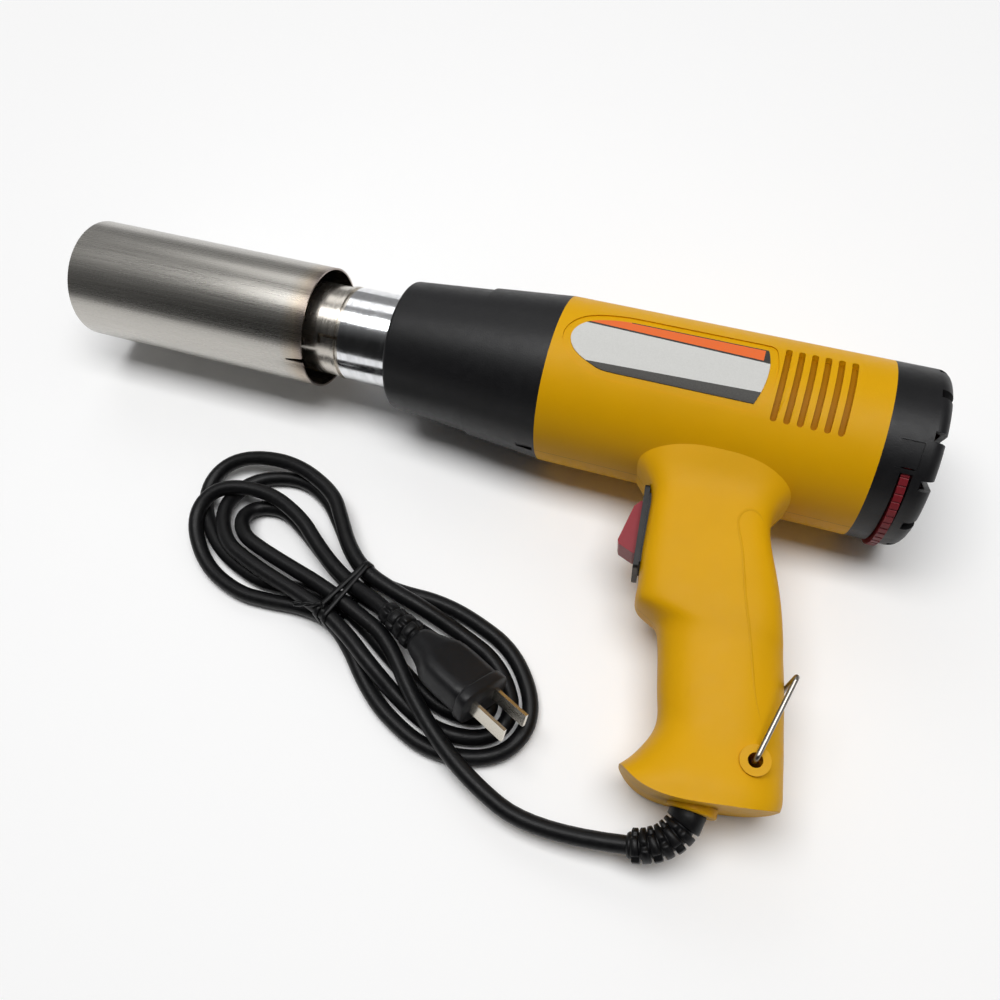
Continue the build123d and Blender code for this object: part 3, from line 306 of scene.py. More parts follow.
def label_material():
    """Plain label bands: orange above, light grey, dark grey below, and a painted shade strip
    along the top edge under the pocket rim.
    """
    material, tree, shader = new_material("label_bands")
    place = gun_coordinates(tree)
    x, y = parts_of(tree, place)[:2]

    def above(offset, slope):
        """One where y is above a sloping line."""
        line = math_node(tree, "MULTIPLY_ADD", x, slope, offset)
        return math_node(tree, "GREATER_THAN", y, line)

    colour = mix_colour(tree, above(*LOWER_LINE), LABEL_DARK, LABEL_GREY)
    colour = mix_colour(tree, above(*DARK_LINE), colour, LABEL_DARK)
    upper = mix_colour(tree, math_node(tree, "LESS_THAN", x, ORANGE_END), LABEL_DARK,
                       LABEL_ORANGE)
    colour = mix_colour(tree, above(*ORANGE_LINE), colour, upper)
    # Painted shade of the pocket rim along the label's top edge
    rim_shade = math_node(tree, "MULTIPLY", math_node(tree, "GREATER_THAN", y, RIM_SHADE_HEIGHT),
                    math_node(tree, "GREATER_THAN", x, RIM_SHADE_START))
    colour = mix_colour(tree, rim_shade, colour, LABEL_DARK)
    grain = noise(tree, place, PRINT_SCALE, 2.0)
    colour = mix_colour(tree, spread(tree, grain, *PRINT_RANGE, *PRINT_SHARE), colour,
                        LABEL_GRAIN)
    feed(tree, colour, shader.inputs["Base Color"])
    feed(tree, spread(tree, grain, *PRINT_RANGE, *PRINT_ROUGH), shader.inputs["Roughness"])
    shader.inputs["Specular IOR Level"].default_value = LABEL_GLOSS
    bump(tree, shader, grain, PRINT_DEPTH)
    return material


SMEAR_SCALE = (2.0, 9.0, 9.0)
SMEAR_DARKER = 0.85
SMEAR_RANGE = (0.35, 0.7)
SMEAR_ROUGH_RANGE = (0.3, 0.7)
SMEAR_ROUGH = 0.10
DENT_SCALE = 0.3
DENT_DEPTH = 0.00002


def polished(name, colour, rough):
    """Polished plating with faint smears."""
    material, tree, shader = new_material(name)
    shader.inputs["Metallic"].default_value = 1.0
    place = gun_coordinates(tree)
    smear = noise(tree, gun_coordinates(tree, SMEAR_SCALE), 1.0, 3.0)
    darker = tuple(value * SMEAR_DARKER for value in colour)
    feed(tree, mix_colour(tree, spread(tree, smear, *SMEAR_RANGE), colour, darker),
         shader.inputs["Base Color"])
    feed(tree, spread(tree, smear, *SMEAR_ROUGH_RANGE, rough, rough + SMEAR_ROUGH),
         shader.inputs["Roughness"])
    bump(tree, shader, noise(tree, place, DENT_SCALE, 2.0), DENT_DEPTH)
    return material


SHEATH = (0.0035, 0.0035, 0.004)
SHEATH_GLOSS = 0.22
SHEATH_ROUGH = (0.34, 0.50)
DUST = (0.011, 0.011, 0.011)
DUST_SCALE = 0.5
DUST_RANGE = (0.45, 0.8, 0.0, 0.5)
RIPPLE_SCALE = 0.8
RIPPLE_DEPTH = 0.00006


def cord_rubber():
    """Satin black sheath with dust and faint extrusion ripple."""
    material, tree, shader = new_material("cord_sheath")
    place = gun_coordinates(tree)
    dust = noise(tree, place, DUST_SCALE, 5.0, 0.7)
    base = mix_colour(tree, spread(tree, dust, *DUST_RANGE), SHEATH, DUST)
    feed(tree, base, shader.inputs["Base Color"])
    shader.inputs["Specular IOR Level"].default_value = SHEATH_GLOSS
    feed(tree, spread(tree, dust, *MARK_RANGE, *SHEATH_ROUGH), shader.inputs["Roughness"])
    bump(tree, shader, noise(tree, place, RIPPLE_SCALE, 3.0), RIPPLE_DEPTH)
    return material


YELLOW = (0.69, 0.355, 0.001)
BLACK = (0.0055, 0.0055, 0.0065)
STAINLESS = (0.53, 0.51, 0.475)
surfaces = {
    "casing": moulded("casing_yellow", YELLOW, 0.46, 0.00004, 0.96, 0.05, 0.13, seam_line),
    "black": moulded("moulded_black", BLACK, 0.44, 0.00005, 0.75, 0.0, 0.32),
    "cream": moulded("moulded_cream", (0.62, 0.58, 0.48), 0.5, 0.00004),
    "dial": moulded("dial_red", (0.17, 0.010, 0.016), 0.42, 0.00004, 0.9, 0.0, 0.3),
    "rocker": moulded("rocker_red", (0.29, 0.030, 0.040), 0.36, 0.00002, 0.9, 0.1, 0.16),
    # Slightly darker yellow of the raised strip line: painted shade of the groove round the
    # handle's strip
    "groove_shade": moulded("casing_line_shade", (0.64, 0.325, 0.001), 0.5, 0.00003, 0.96, 0.05, 0.13),
    # Dark yellow of the plate behind the vents: painted shade inside the vent slots
    "shade_plate": moulded("vent_shade", (0.40, 0.17, 0.001), 0.5, 0.00003, 0.9, 0.0, 0.1),
    "label": label_material(),
    "shroud": brushed("shroud_steel", STAINLESS, 0.27, 40.0, 0.5, heat_tint),
    "neck": brushed("neck_steel", (0.66, 0.62, 0.56), 0.24, 1.2, 12.0),
    "chrome": polished("tube_chrome", (0.84, 0.85, 0.87), 0.10),
    "steel": brushed("bright_steel", (0.42, 0.40, 0.37), 0.26, 6.0, 1.5),
    "bail": brushed("bail_steel", (0.33, 0.31, 0.28), 0.30, 2.5, 2.5),
    "motor": brushed("motor_steel", (0.50, 0.50, 0.52), 0.35, 8.0, 0.8),
    "coil": brushed("coil_wire", (0.40, 0.37, 0.35), 0.45, 2.0, 2.0),
    "mica": moulded("mica_sheet", (0.50, 0.42, 0.28), 0.55, 0.00003),
    "board": moulded("board_green", (0.02, 0.14, 0.05), 0.45, 0.00003),
    "brass": brushed("contact_brass", (0.72, 0.52, 0.22), 0.30, 3.0, 1.0),
    "blades": brushed("blade_nickel", (0.66, 0.62, 0.54), 0.22, 3.0, 1.0),
    "cord": cord_rubber(),
}
dressed = {
    "left_shell": "casing", "right_shell": "casing", "shell_screws": "steel",
    "label_plate": "label", "front_collar": "black", "heat_guard": "black",
    "heater_tube": "chrome", "mica_sleeve": "mica", "element_former": "mica",
    "heating_coil": "coil", "nozzle_neck": "neck", "nozzle_shroud": "shroud",
    "nozzle_struts": "shroud", "air_guide": "black", "fan_impeller": "cream",
    "motor_shaft": "steel", "fan_motor": "motor", "motor_mount": "black",
    "control_board": "board", "potentiometer": "black", "dial_spindle": "cream",
    "temperature_dial": "dial", "rear_cap": "black", "switch_body": "black",
    "switch_rocker": "rocker", "switch_terminals": "brass", "hanging_bail": "bail",
    "cord_clamp": "cream", "inner_wires": "cord", "cord_relief": "cord",
    "cord_free": "cord", "cord_hank": "cord", "cord_tie": "cord", "plug_body": "cord",
    "plug_blades": "blades",
}
for node, surface in dressed.items():
    mesh = nodes[node].data
    mesh.materials.clear()
    mesh.materials.append(surfaces[surface])


# Cord: one line from the relief to the plug

CORD_RADIUS = 3.5
RELIEF_END = (83.2, -184.3, 15.0)
CORD_ROUTE = [(48.4, -190.8, 9.5), (16.0, -179.6, 11.3), (-13.3, -159.0, 11.3)]
TIE_CENTRE = Vector((-63.0, -119.6, 0.0))
HANK_TURN = math.radians(159.04)
HANK_ALONG = Vector((math.cos(HANK_TURN), math.sin(HANK_TURN), 0.0))
HANK_ACROSS = Vector((math.sin(HANK_TURN), -math.cos(HANK_TURN), 0.0))
STRAND_PITCH = 8.4
STRAND_LAYER = 7.7
STRAND_BASE = 3.6
WAIST_LIFT = 0.7
FLANK = {1: 53.0, -1: 59.0}
NECK = {1: 27.0, -1: 30.0}
RUN_IN = (-30.0, -12.0)
# Each loop: side, reach, side places out and back, neck places out and back, levels at the
# out side, the tip and the back side, and the waist's columns and levels out and back
LOOPS = [
    (1, 70.5, -9.2, 13.2, -6.4, 8.2, (1.0, 0.0, 0.0), (-0.5, 1), (0.5, 0)),
    (-1, 83.0, 9.8, -11.4, 8.0, -8.0, (0.0, 0.0, 0.0), (0.5, 0), (-0.5, 0)),
    (1, 99.4, -20.7, 33.8, -13.1, 23.9, (0.0, 0.1, 1.0), (-0.5, 0), (1.5, 1)),
    (-1, 92.0, 18.9, -20.5, 15.4, -17.3, (0.0, 0.0, 0.0), (1.5, 1), (-1.5, 1)),
    (1, 83.4, -17.1, 31.5, -15.0, 22.0, (1.0, 0.0, 0.0), (-1.5, 1), (1.5, 0)),
    (-1, 100.5, 27.3, -28.9, 23.1, -22.8, (0.0, 0.0, 0.0), (1.5, 0), (-1.5, 0)),
    (1, 89.8, -30.6, 14.2, -22.3, 8.1, (0.0, 1.2, 1.1), (-1.5, 0), (0.5, 1)),
]
# Shares that shape a loop: its places near the waist and in the neck, and how far each has
# turned to the next one; the fade of the waist's lift; and the bend at the tip
WAIST_OUT = 0.55
WAIST_TURN = 0.40
WAIST_FADE = 0.6 * WAIST_LIFT
NECK_OUT = 1.05
NECK_TURN = 0.15
TIP_START = 0.23
ROUNDNESS = 0.414
PLUG_RUN = 15.0
PLUG_SIDE = 4.6
PLUG_HEIGHT = 14.8
PLUG_TILT = math.radians(6.3)
PLUG_SWING = math.radians(4.5)


def strand(along, aside, level, lift=0.0):
    """Floor place of a strand from distances along and across the hank."""
    height = STRAND_BASE + STRAND_LAYER * level + lift
    return TIE_CENTRE + HANK_ALONG * along + HANK_ACROSS * aside + Vector((0, 0, height))


def plug_heading():
    """Direction in which the plug points."""
    flat = -HANK_ALONG * math.cos(PLUG_SWING) - HANK_ACROSS * math.sin(PLUG_SWING)
    return flat * math.cos(PLUG_TILT) + Vector((0, 0, math.sin(PLUG_TILT)))


def plug_start():
    """Floor place where the cord enters the plug's sleeve."""
    end = strand(-PLUG_RUN, PLUG_SIDE, 0)
    end.z = PLUG_HEIGHT
    return end + plug_heading() * (2 * CORD_RADIUS)


def loop_places(loop):
    """Control places of one loop of the hank, from the waist out and back."""
    side, reach, out, back, neck_out, neck_back, levels, slot, exit_slot = loop
    flank = FLANK[side]
    neck = NECK[side]
    tip = reach - flank
    middle = (out + back) / 2
    first = slot[0] * STRAND_PITCH
    last = exit_slot[0] * STRAND_PITCH
    rows = [
        (0.0, first, slot[1], WAIST_LIFT),
        (WAIST_OUT * neck, first + WAIST_TURN * (neck_out - first), slot[1], WAIST_FADE),
        (NECK_OUT * neck, neck_out + NECK_TURN * (out - neck_out), slot[1], 0.0),
        (flank - TIP_START * tip, out, levels[0], 0.0),
        (flank + ROUNDNESS * tip, out, levels[0], 0.0),
        (reach, middle + ROUNDNESS * (out - middle), (levels[0] + levels[1]) / 2, 0.0),
        (reach, middle + ROUNDNESS * (back - middle), (levels[1] + levels[2]) / 2, 0.0),
        (flank + ROUNDNESS * tip, back, levels[2], 0.0),
        (flank - TIP_START * tip, back, levels[2], 0.0),
        (NECK_OUT * neck, neck_back + NECK_TURN * (back - neck_back), exit_slot[1], 0.0),
        (WAIST_OUT * neck, last + WAIST_TURN * (neck_back - last), exit_slot[1], WAIST_FADE),
    ]
    return [strand(side * along, aside, level, lift) for along, aside, level, lift in rows]


def cord_places():
    """Control places of the whole cord."""
    slot = LOOPS[0][7]
    column = slot[0] * STRAND_PITCH
    places = [Vector(RELIEF_END)]
    places += [Vector(place) for place in CORD_ROUTE]
    places += [strand(along, column, slot[1], WAIST_LIFT) for along in RUN_IN]
    for loop in LOOPS:
        places += loop_places(loop)
    slot = LOOPS[-1][8]
    places.append(strand(0, slot[0] * STRAND_PITCH, slot[1], WAIST_LIFT))
    places.append(plug_start() - plug_heading() * (2 * CORD_RADIUS))
    places.append(plug_start())
    return places


CURVE_STEPS = 8
CORD_SIDES = 8


def nurbs(name, places, radius):
    """Round cord along one smooth NURBS line through floor places."""
    data = bpy.data.curves.new(name, "CURVE")
    data.dimensions = "3D"
    line = data.splines.new("NURBS")
    line.points.add(len(places) - 1)
    for point, place in zip(line.points, places):
        point.co = (*floor_place(*place), 1.0)
    line.order_u = 3
    line.use_endpoint_u = True
    line.resolution_u = CURVE_STEPS
    data.bevel_depth = radius * MM
    data.bevel_resolution = CORD_SIDES
    data.use_fill_caps = True
    piece = bpy.data.objects.new(name, data)
    bpy.context.scene.collection.objects.link(piece)
    return piece


def line_points(places):
    """Points along the smooth NURBS line of some floor places, in metres."""
    piece = nurbs("line", places, 0.0)
    mesh = bpy.data.meshes.new_from_object(piece)
    points = [vertex.co.copy() for vertex in mesh.vertices]
    bpy.data.meshes.remove(mesh)
    bpy.data.objects.remove(piece)
    return points


def add_piece(name, mesh, surface, body, smooth=True):
    """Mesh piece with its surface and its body."""
    piece = bpy.data.objects.new(name, mesh)
    bpy.context.scene.collection.objects.link(piece)
    mesh.materials.append(surfaces[surface])
    if smooth:
        mesh.polygons.foreach_set("use_smooth", [True] * len(mesh.polygons))
    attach(piece, body)
    return piece


def skin(name, rings, closed=False):
    """Mesh over a row of rings with as many points each, closed at both ends."""
    mesh = bpy.data.meshes.new(name)
    work = bmesh.new()
    loops = [[work.verts.new(point) for point in ring] for ring in rings]
    pairs = list(zip(loops, loops[1:]))
    if closed:
        pairs.append((loops[-1], loops[0]))
    for first, second in pairs:
        count = len(first)
        for step in range(count):
            after = (step + 1) % count
            work.faces.new((first[step], first[after], second[after], second[step]))
    if not closed:
        work.faces.new(list(reversed(loops[0])))
        work.faces.new(loops[-1])
    bmesh.ops.recalc_face_normals(work, faces=work.faces)
    work.to_mesh(mesh)
    work.free()
    return mesh


def along_line(points):
    """Distances, headings and steady cross axes along a row of points."""
    distances = [0.0]
    for first, second in zip(points, points[1:]):
        distances.append(distances[-1] + (second - first).length)
    frames = []
    side = None
    for step in range(len(points)):
        before = points[max(step - 1, 0)]
        after = points[min(step + 1, len(points) - 1)]
        ahead = (after - before).normalized()
        if side is None:
            side = ahead.cross(Vector((0, 0, 1))).normalized()
        side = (side - ahead * side.dot(ahead)).normalized()
        frames.append((ahead, side, ahead.cross(side)))
    return distances, frames


def place_on(points, distances, frames, distance):
    """Place and cross axes at a distance along a row of points."""
    for step in range(len(points) - 1):
        if distances[step + 1] >= distance or step == len(points) - 2:
            span = distances[step + 1] - distances[step]
            share = (distance - distances[step]) / span
            place = points[step].lerp(points[step + 1], share)
            side = frames[step][1].lerp(frames[step + 1][1], share).normalized()
            up = frames[step][2].lerp(frames[step + 1][2], share).normalized()
            return place, side, up


RING_POINTS = 72
NOTCH_FROM = 0.62


def ribbed_rings(points, profile, notches=0, notch_depth=0.0):
    """Round rings along a line. The profile holds (share of length, radius, notch phase)."""
    distances, frames = along_line(points)
    total = distances[-1]
    rings = []
    for share, radius, notched in profile:
        place, side, up = place_on(points, distances, frames, share * total)
        ring = []
        for step in range(RING_POINTS):
            turn = 2 * math.pi * step / RING_POINTS
            bite = 0.0
            if notched and notches:
                wave = math.cos(notches * turn + math.pi * (notched - 1))
                bite = notch_depth * max(0.0, wave - NOTCH_FROM) / (1 - NOTCH_FROM)
            reach = (radius - bite) * MM
            ring.append(place + (side * math.cos(turn) + up * math.sin(turn)) * reach)
        rings.append(ring)
    return rings


RELIEF_LINE = [(102.5, -161.0, 21.0), (102.5, -181.4, 18.1), RELIEF_END]
RELIEF_FLANGE = 0.37
RELIEF_RIBS = 6
RELIEF_RIB = 6.9
RELIEF_TIP = 6.4
RELIEF_VALLEY = 4.9
RELIEF_SLEEVE = 7.0
RELIEF_NOTCHES = (4, 1.3)
# One rib: share of its step, share of its height, and whether notches cut it
RIB_SHAPE = [(0.0, 0.0, False), (0.10, 0.03, False), (0.12, 0.80, True), (0.18, 1.0, True),
             (0.50, 1.02, True), (0.80, 1.0, True), (0.87, 0.80, True), (0.89, 0.03, False)]


def rib_profile(first, last, ribs, crest_first, crest_last, valley, notched):
    """Rounded ribs and valleys between two shares of a line."""
    step = (last - first) / ribs
    rows = []
    for rib in range(ribs):
        crest = crest_first + (crest_last - crest_first) * rib / max(ribs - 1, 1)
        base = first + rib * step
        phase = 1 + rib % 2 if notched else 0
        for share, rise, cut in RIB_SHAPE:
            rows.append((base + share * step, valley + (crest - valley) * rise,
                         phase if cut else 0))
    return rows


def relief_profile():
    """Sleeve out of the foot, then ribs to the free cord."""
    rows = [(0.0, RELIEF_SLEEVE, 0), (RELIEF_FLANGE - 0.06, RELIEF_SLEEVE, 0),
            (RELIEF_FLANGE - 0.05, RELIEF_SLEEVE - 0.3, 0),
            (RELIEF_FLANGE - 0.045, RELIEF_VALLEY, 0)]
    rows += rib_profile(RELIEF_FLANGE - 0.03, 0.96, RELIEF_RIBS, RELIEF_RIB, RELIEF_TIP,
                        RELIEF_VALLEY, True)
    rows += [(0.965, 4.9, 0), (0.97, 5.0, 0), (1.0, 4.4, 0)]
    return rows


cord = nurbs("mains_cord", cord_places(), CORD_RADIUS)
cord.data.materials.append(surfaces["cord"])
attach(cord, "housing")
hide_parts("cord_free", "cord_hank")

relief = add_piece("strain_relief", skin("strain_relief", ribbed_rings(
    line_points(RELIEF_LINE), relief_profile(), *RELIEF_NOTCHES)), "cord", "housing")
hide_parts("cord_relief")


# Plug, with its ribbed sleeve, and the tie round the waist

SLEEVE_LENGTH = 21.0
PLUG_LENGTH = 41.0
PLUG_HALF_WIDTH = 12.2
PLUG_HALF_THICK = 7.8
PLUG_ROLL = math.radians(30.0)
PLUG_POINTS = 64
# Stations of the plug's body: share of its length, half width and half thickness as shares
PLUG_STATIONS = [
    (0.00, 0.42, 0.62), (0.02, 0.50, 0.74), (0.07, 0.56, 0.80), (0.16, 0.62, 0.85),
    (0.24, 0.72, 0.90), (0.30, 0.84, 0.94), (0.36, 0.93, 0.97), (0.44, 0.98, 1.00),
    (0.60, 1.00, 1.00), (0.80, 0.985, 0.99), (0.862, 0.975, 0.98), (0.870, 0.955, 0.95),
    (0.878, 0.955, 0.95), (0.886, 1.04, 1.06), (0.90, 1.055, 1.08), (0.985, 1.055, 1.08),
    (1.00, 1.03, 1.05),
]
SQUARENESS = 3.6
SQUARE_FROM = 0.35
# Dish in both flat faces: its depth in mm, and its centre and half sizes as shares
DISH_DEPTH = 0.7
DISH_CENTRE = 0.60
DISH_HALF_LENGTH = 0.21
DISH_HALF_WIDTH = 0.62
SLEEVE_STEPS = 8
SLEEVE_NOTCHES = (4, 1.2)


def plug_axes():
    """Heading, wide axis and thick axis of the plug."""
    ahead = plug_heading()
    flat = ahead.cross(Vector((0, 0, 1))).normalized()
    up = flat.cross(ahead).normalized()
    wide = flat * math.cos(PLUG_ROLL) + up * math.sin(PLUG_ROLL)
    return ahead, wide, ahead.cross(wide)


def plug_rings():
    """Squared oval rings of the plug's body, dished on both flat faces."""
    ahead, wide, thick = plug_axes()
    rings = []
    for share, width, depth in PLUG_STATIONS:
        centre = plug_start() + ahead * (SLEEVE_LENGTH + share * PLUG_LENGTH)
        power = 2.0 + (SQUARENESS - 2.0) * min(1.0, share / SQUARE_FROM)
        dish = max(0.0, 1 - ((share - DISH_CENTRE) / DISH_HALF_LENGTH) ** 4) * DISH_DEPTH
        ring = []
        for step in range(PLUG_POINTS):
            turn = 2 * math.pi * step / PLUG_POINTS
            x = math.copysign(abs(math.cos(turn)) ** (2 / power), math.cos(turn))
            y = math.copysign(abs(math.sin(turn)) ** (2 / power), math.sin(turn))
            hollow = dish * max(0.0, 1 - (x / DISH_HALF_WIDTH) ** 4)
            place = centre + wide * (x * width * PLUG_HALF_WIDTH)
            place += thick * (y * depth * PLUG_HALF_THICK - math.copysign(hollow, y))
            ring.append(floor_place(*place))
        rings.append(ring)
    return rings


def sleeve_places():
    """Straight line of the plug's ribbed sleeve."""
    start = plug_start()
    return [floor_place(*(start + plug_heading() * (SLEEVE_LENGTH * step / SLEEVE_STEPS)))
            for step in range(SLEEVE_STEPS + 1)]


sleeve_profile = [(0.0, 4.0, 0), (0.02, 4.4, 0)]
sleeve_profile += rib_profile(0.03, 0.97, 4, 5.2, 6.5, 4.5, True)
sleeve_profile += [(0.98, 5.0, 0), (1.0, 5.2, 0)]
plug = add_piece("plug_body_moulded", skin("plug_body_moulded", plug_rings()),
                 "black", "housing")
sleeve = add_piece("plug_sleeve", skin("plug_sleeve", ribbed_rings(
    sleeve_places(), sleeve_profile, *SLEEVE_NOTCHES)), "cord", "housing")
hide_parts("plug_body")

TIE_HALF = 16.55
TIE_LOW = 0.66
TIE_HIGH = 15.8
TIE_ROUND = 3.6
TIE_BAND = 2.4
TIE_THICK = 0.6
TIE_POINTS = 40
TIE_EDGE = 0.85
# Each turn of the tie: piece, offset along the hank and skew
TIE_TURNS = [("cord_tie_band", -1.4, 1.0), ("cord_tie_band_second", 1.6, -0.9)]


def tie_outline(grow):
    """Points of a rounded box round the strands, as (across, height)."""
    middle = (TIE_LOW + TIE_HIGH) / 2
    wide = TIE_HALF + grow - TIE_ROUND
    tall = (TIE_HIGH - TIE_LOW) / 2 + grow - TIE_ROUND
    places = []
    for step in range(TIE_POINTS):
        turn = 2 * math.pi * (step + 0.5) / TIE_POINTS
        x, y = math.cos(turn), math.sin(turn)
        places.append((math.copysign(wide, x) + TIE_ROUND * x,
                       middle + math.copysign(tall, y) + TIE_ROUND * y))
    return places


def tie_rings(offset, skew):
    """Rings of one flat turn of the tie at an offset along the hank."""
    inner = tie_outline(0.0)
    outer = tie_outline(TIE_THICK)
    rings = []
    for (xi, zi), (xo, zo) in zip(inner, outer):
        ring = []
        for x, z, shift in ((xi, zi, -1), (xo, zo, -TIE_EDGE), (xo, zo, TIE_EDGE),
                            (xi, zi, 1)):
            along = offset + skew * x / TIE_HALF + shift * TIE_BAND / 2
            place = TIE_CENTRE + HANK_ALONG * along + HANK_ACROSS * x + Vector((0, 0, z))
            ring.append(floor_place(*place))
        rings.append(ring)
    return rings


tie, tie_second = [add_piece(name, skin(name, tie_rings(offset, skew), True), "cord",
                             "housing") for name, offset, skew in TIE_TURNS]
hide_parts("cord_tie")

TWIST_STEPS = 14
TWIST_TURN = 2.5 * math.pi
TWIST_REACH = 0.9
TWIST_WIRE = 0.75
TWIST_RINGS = 20
TWIST_FROM = -11.0
TWIST_RISE = 1.5
# How far the twisted ends run along the hank, across it and down, for each mm of wire
TWIST_RUN = (0.86, -0.55, -0.12)


def tie_end(side):
    """One end of the tie, twisted round the other on top of the strands."""
    points = []
    for step in range(TWIST_STEPS + 1):
        turn = step / TWIST_STEPS * TWIST_TURN + (math.pi if side > 0 else 0.0)
        wire = 1.0 + step
        along = wire * TWIST_RUN[0] + TWIST_REACH * math.cos(turn)
        aside = TWIST_FROM + wire * TWIST_RUN[1]
        rise = TIE_HIGH + TWIST_RISE + TWIST_REACH * math.sin(turn) + wire * TWIST_RUN[2]
        place = TIE_CENTRE + HANK_ALONG * along + HANK_ACROSS * aside + Vector((0, 0, rise))
        points.append(floor_place(*place))
    return ribbed_rings(points, [(share / TWIST_RINGS, TWIST_WIRE, 0)
                                 for share in range(TWIST_RINGS + 1)])


for number, side in enumerate((-1, 1)):
    add_piece(f"cord_tie_end_{number}", skin(f"cord_tie_end_{number}", tie_end(side)),
              "cord", "housing")


# Plate behind the vents, dark yellow as painted shade inside them, and the raised line round
# the strip on the handle, darker yellow as painted groove shade

SHADE_PLATE_FROM = 91.0
SHADE_PLATE_TO = 126.0
SHADE_PLATE_RADIUS = 35.45
SHADE_PLATE_THICK = 0.8
SHADE_PLATE_HALF = math.radians(33.0)
SHADE_PLATE_STEPS = 24


def shade_plate_rings():
    """Curved plate inside the barrel behind one side's vents, its dark colour painted shade.
    """
    rings = []
    for step in range(SHADE_PLATE_STEPS + 1):
        turn = -SHADE_PLATE_HALF + 2 * SHADE_PLATE_HALF * step / SHADE_PLATE_STEPS
        ring = []
        for x, radius in ((SHADE_PLATE_FROM, SHADE_PLATE_RADIUS), (SHADE_PLATE_TO, SHADE_PLATE_RADIUS),
                          (SHADE_PLATE_TO, SHADE_PLATE_RADIUS - SHADE_PLATE_THICK),
                          (SHADE_PLATE_FROM, SHADE_PLATE_RADIUS - SHADE_PLATE_THICK)):
            ring.append(gun_place(x, radius * math.sin(turn), radius * math.cos(turn)))
        rings.append(ring)
    return rings


# Dark plate behind the vents stands in for the shade inside them
add_piece("vent_shade_plate", skin("vent_shade_plate", shade_plate_rings()), "shade_plate", "housing",
          False)

STRIP_LINE = [(103.6, -54.0), (101.2, -51.0), (98.2, -49.2), (94.6, -50.0), (92.4, -53.5),
              (92.6, -57.5), (96.5, -66.0), (99.5, -77.0), (102.6, -88.0), (106.8, -99.0),
              (110.8, -112.0), (114.5, -124.0), (118.5, -131.5)]
STRIP_WIDTH = 0.7
STRIP_FADE = 12
STRIP_RISE = 0.14
STRIP_SHOULDER = 0.6
CAST_HEIGHT = 60.0


def on_shell(x, y):
    """Place on the left side of the handle under a gun place, and its normal."""
    start = gun_place(x, y, CAST_HEIGHT)
    found, place, normal = nodes["left_shell"].ray_cast(start, gun_turn(0, 0, -1))[:3]
    return (place, normal) if found else None


def strip_mesh(name, places):
    """Fine rounded line that lies on the handle's skin."""
    points = line_points([gun_place(x, y, 0) / MM - HOME for x, y in places])
    back = Matrix.Rotation(-ROLL, 3, "X")
    rings = []
    for step, point in enumerate(points):
        ahead = points[min(step + 1, len(points) - 1)] - points[max(step - 1, 0)]
        local = back @ (point - gun_place(0, 0, 0)) / MM
        hit = on_shell(local.x, local.y)
        if hit is None:
            continue
        place, normal = hit
        fade = min(1.0, (1 + min(step, len(points) - 1 - step)) / STRIP_FADE)
        side = ahead.cross(normal).normalized() * STRIP_WIDTH * fade * MM
        up = normal.normalized() * STRIP_RISE * fade * MM
        rings.append([place - side - up, place + (up - side) * STRIP_SHOULDER, place + up,
                      place + (up + side) * STRIP_SHOULDER, place + side - up])
    return skin(name, rings)


# The strip line's darker yellow is painted groove shade
add_piece("strip_line", strip_mesh("strip_line", STRIP_LINE), "groove_shade", "housing")


# Stage and light

FLOOR_HALF = 6.0
FLOOR_ROUGH = 0.9
FLOOR_GLOSS = 0.2
FLOOR_LIT = (0.86, 0.86, 0.86)
FLOOR_SEEN = (0.985, 0.985, 0.985)
FLOOR_FADE_FROM = 0.32
FLOOR_FADE_TO = 0.95
WORLD_LIGHT = 0.27
WORLD_DARK = 0.012
DARK_HEIGHT = math.radians(26.0)
DARK_FROM = 0.35
DARK_TO = 0.88
CENTRE = (0.0, 0.02, 0.03)
# Each lamp: name, place, size and power
LAMPS = [("key", (0.0, 0.05, 1.45), (1.5, 0.62), 19.0),
         ("back", (-0.6, 1.2, 1.2), (1.0, 0.6), 2.2)]


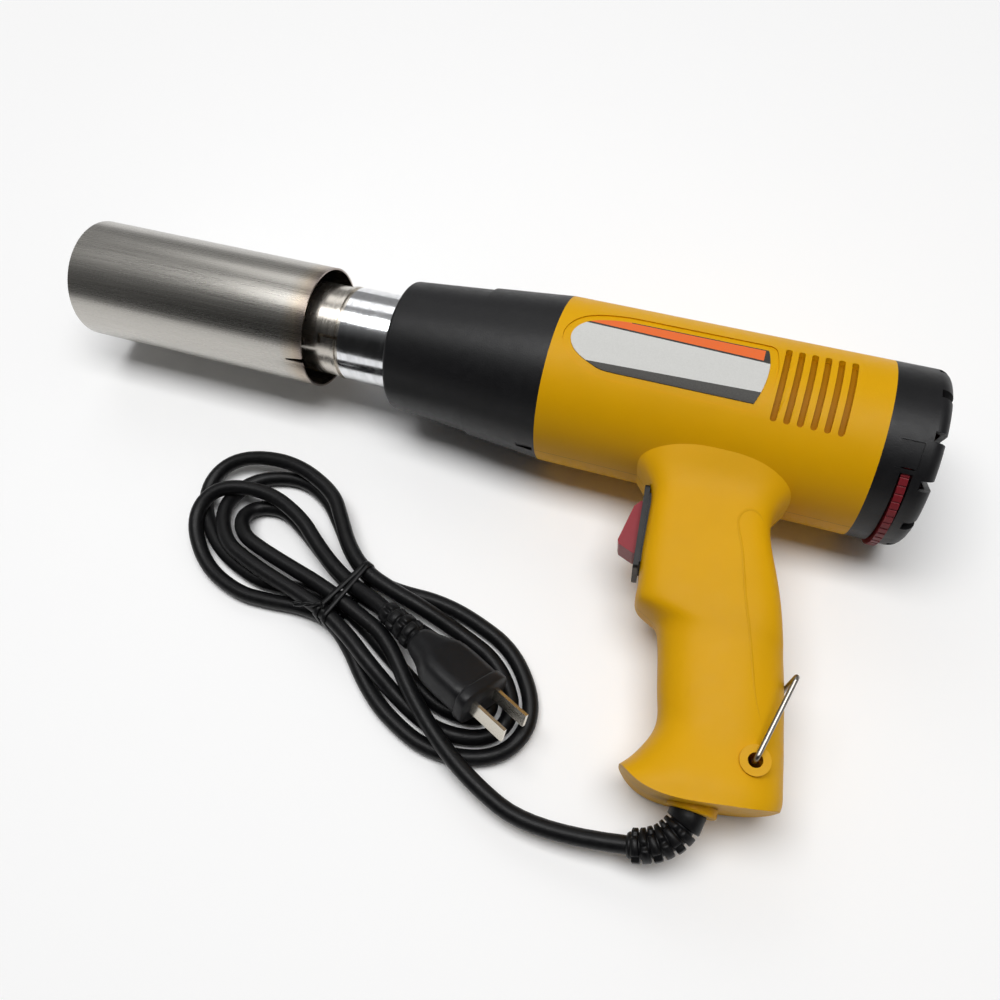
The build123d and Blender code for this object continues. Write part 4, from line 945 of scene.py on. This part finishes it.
def add_stage():
    """Plain pale floor, which fades to white far from the object."""
    mesh = bpy.data.meshes.new("floor")
    half = FLOOR_HALF
    mesh.from_pydata([(-half, -half, 0), (half, -half, 0), (half, half, 0), (-half, half, 0)],
                     [], [(0, 1, 2, 3)])
    floor = bpy.data.objects.new("floor", mesh)
    bpy.context.scene.collection.objects.link(floor)
    material, tree, shader = new_material("floor_pale")
    path = tree.nodes.new("ShaderNodeLightPath")
    seen = math_node(tree, "MAXIMUM", path.outputs["Is Camera Ray"],
                     path.outputs["Is Glossy Ray"])
    feed(tree, mix_colour(tree, seen, FLOOR_LIT, FLOOR_SEEN), shader.inputs["Base Color"])
    shader.inputs["Roughness"].default_value = FLOOR_ROUGH
    shader.inputs["Specular IOR Level"].default_value = FLOOR_GLOSS
    place = tree.nodes.new("ShaderNodeTexCoord")
    reach = tree.nodes.new("ShaderNodeVectorMath")
    reach.operation = "LENGTH"
    tree.links.new(place.outputs["Object"], reach.inputs[0])
    far = spread(tree, reach.outputs["Value"], FLOOR_FADE_FROM, FLOOR_FADE_TO)
    plain = tree.nodes.new("ShaderNodeEmission")
    mixed = tree.nodes.new("ShaderNodeMixShader")
    output = next(node for node in tree.nodes if node.type == "OUTPUT_MATERIAL")
    feed(tree, math_node(tree, "MULTIPLY", far, seen), mixed.inputs[0])
    tree.links.new(shader.outputs[0], mixed.inputs[1])
    tree.links.new(plain.outputs[0], mixed.inputs[2])
    tree.links.new(mixed.outputs[0], output.inputs["Surface"])
    mesh.materials.append(material)


def add_light(name, place, target, size, power):
    """Soft square lamp at a place, turned to a target, both in metres."""
    data = bpy.data.lights.new(name, "AREA")
    data.shape = "RECTANGLE"
    data.size, data.size_y = size
    data.energy = power
    lamp = bpy.data.objects.new(name, data)
    bpy.context.scene.collection.objects.link(lamp)
    lamp.location = place
    heading = Vector(target) - Vector(place)
    lamp.rotation_euler = heading.to_track_quat("-Z", "Y").to_euler()


def add_world():
    """Even studio surround with one dark side, low along -y."""
    world = bpy.data.worlds.new("studio")
    bpy.context.scene.world = world
    world.use_nodes = True
    tree = world.node_tree
    tree.nodes.clear()
    output = tree.nodes.new("ShaderNodeOutputWorld")
    lit = tree.nodes.new("ShaderNodeBackground")
    seen = tree.nodes.new("ShaderNodeBackground")
    mixed = tree.nodes.new("ShaderNodeMixShader")
    path = tree.nodes.new("ShaderNodeLightPath")
    source = tree.nodes.new("ShaderNodeTexCoord")
    facing = tree.nodes.new("ShaderNodeVectorMath")
    facing.operation = "DOT_PRODUCT"
    tree.links.new(source.outputs["Generated"], facing.inputs[0])
    facing.inputs[1].default_value = (0.0, -math.cos(DARK_HEIGHT), math.sin(DARK_HEIGHT))
    level = spread(tree, facing.outputs["Value"], DARK_FROM, DARK_TO, WORLD_LIGHT, WORLD_DARK)
    tree.links.new(level, lit.inputs["Strength"])
    seen.inputs["Strength"].default_value = 1.0
    for node in (lit, seen):
        node.inputs["Color"].default_value = (1, 1, 1, 1)
    tree.links.new(path.outputs["Is Camera Ray"], mixed.inputs[0])
    tree.links.new(lit.outputs[0], mixed.inputs[1])
    tree.links.new(seen.outputs[0], mixed.inputs[2])
    tree.links.new(mixed.outputs[0], output.inputs["Surface"])


add_stage()
add_world()
for name, place, size, power in LAMPS:
    add_light(name, place, CENTRE, size, power)
bpy.context.scene.view_settings.view_transform = "Standard"
